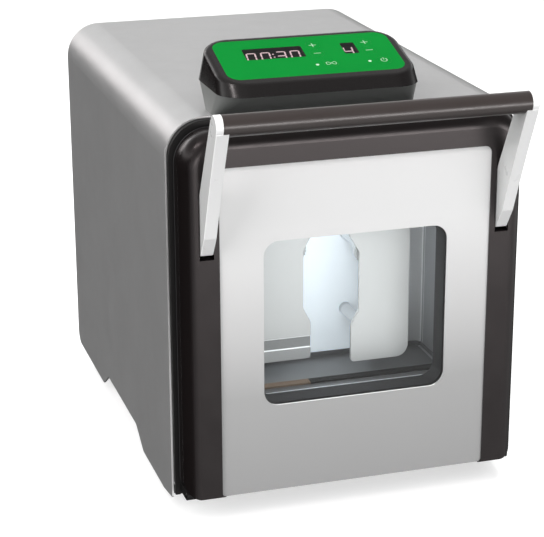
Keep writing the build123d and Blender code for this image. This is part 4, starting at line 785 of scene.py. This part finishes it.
def display(name, window, text, starts, dots=()):
    """A dark well under a smoked window, with lit bars on its floor."""
    left, middle, width, height = window
    on_label = label_face()
    dark = paint(name + "_dark", (0.010, 0.008, 0.009), 0.4, specular=0.2)
    inset = WELL_GAP + WELL_WALL / 2
    floor = rectangle(left + inset, middle, width - 2 * inset, height - 2 * inset)
    raised(name + "_well_floor", floor, on_label, -WELL_DEPTH, WELL_FLOOR, dark, "housing")
    floor_corners, _ = floor
    wall = ribbon(floor_corners, WELL_WALL, closed=True)
    floor_top = WELL_FLOOR - WELL_DEPTH
    raised(name + "_well_wall", wall, on_label, floor_top, -WELL_TOP_GAP - floor_top, dark, "housing")
    shapes = []
    for character, start in zip(text, starts):
        shapes += digit(character, left + start)
    shapes += [disc(left + x, y, DOT_RADIUS) for x, y in dots]
    raised(name + "_digits", shifted(join(*shapes), middle), on_label, floor_top + DIGIT_LIFT,
           DIGIT_THICKNESS, lit(), "housing")


def make_displays():
    display("time_display", TIME_WINDOW, "0030", TIME_DIGITS, TIME_DOTS)
    display("speed_display", SPEED_WINDOW, "4", SPEED_DIGITS)


# ---------------------------------------------------------------- printed symbols, in millimetres
SYMBOL_SIZE = 5.6
SYMBOL_STROKE = 0.42
PRINT_LIFT = 0.02
PRINT_THICKNESS = 0.08
# The endless sign's width, its height as a share of half of that, and its thinner stroke.
ENDLESS_SIZE = 1.4 * SYMBOL_SIZE
ENDLESS_FLATNESS = 0.95
ENDLESS_STROKE = 0.8 * SYMBOL_STROKE
# The power sign's open ring, from one angle to the other, and the middle of its bar.
RING_RADIUS = 0.425 * SYMBOL_SIZE
RING_START, RING_END = 125, 415
RING_BAR_PLACE = 0.31 * SYMBOL_SIZE
# The two lamp dots, from the label's middle.
LAMPS = ((2.4, -14.65), (43.8, -14.65))
LAMP_RADIUS = 1.25


def plus_sign():
    half = SYMBOL_SIZE / 2
    stroke = SYMBOL_STROKE
    return join(rectangle(-stroke / 2, 0, stroke, SYMBOL_SIZE),
                rectangle(-half, 0, half - stroke / 2, stroke),
                rectangle(stroke / 2, 0, half - stroke / 2, stroke))


def minus_sign():
    return rectangle(-SYMBOL_SIZE / 2, 0, SYMBOL_SIZE, SYMBOL_STROKE)


def endless_sign(steps=40):
    half = ENDLESS_SIZE / 2
    path = []
    for step in range(steps):
        turn = 2 * pi * step / steps
        path.append((half * cos(turn), half * ENDLESS_FLATNESS * sin(turn) * cos(turn)))
    return ribbon(path, ENDLESS_STROKE, closed=True)


def power_sign():
    ring = ribbon(arc(RING_RADIUS, RING_START, RING_END), SYMBOL_STROKE, closed=False)
    bar = rectangle(-SYMBOL_STROKE / 2, RING_BAR_PLACE, SYMBOL_STROKE, SYMBOL_SIZE / 2)
    return join(ring, bar)


def make_symbols():
    surface = Surface("symbol_white", (0.52, 0.74, 0.56), 0.4)
    surface.vary_color(surface.noise(900, detail=2), 0.05)
    printed = (PRINT_LIFT, PRINT_THICKNESS, surface)
    symbols = {
        "key_time_plus": plus_sign(),
        "key_speed_plus": plus_sign(),
        "key_time_minus": minus_sign(),
        "key_speed_minus": minus_sign(),
        "key_continuous": endless_sign(),
        "key_power": power_sign(),
    }
    for key, shape in symbols.items():
        raised(key + "_symbol", shape, key_face(key), *printed, key + "_cap")
    for index, place in enumerate(LAMPS):
        raised(f"lamp_{index + 1}", disc(*place, LAMP_RADIUS), label_face(), *printed, "housing")


# ---------------------------------------------------------------- the scene
make_camera()
make_world()
light_object()
light_chamber()
make_floor()
dress_casing()
dress_door()
dress_chamber()
dress_drive()
dress_console()
make_displays()
make_symbols()
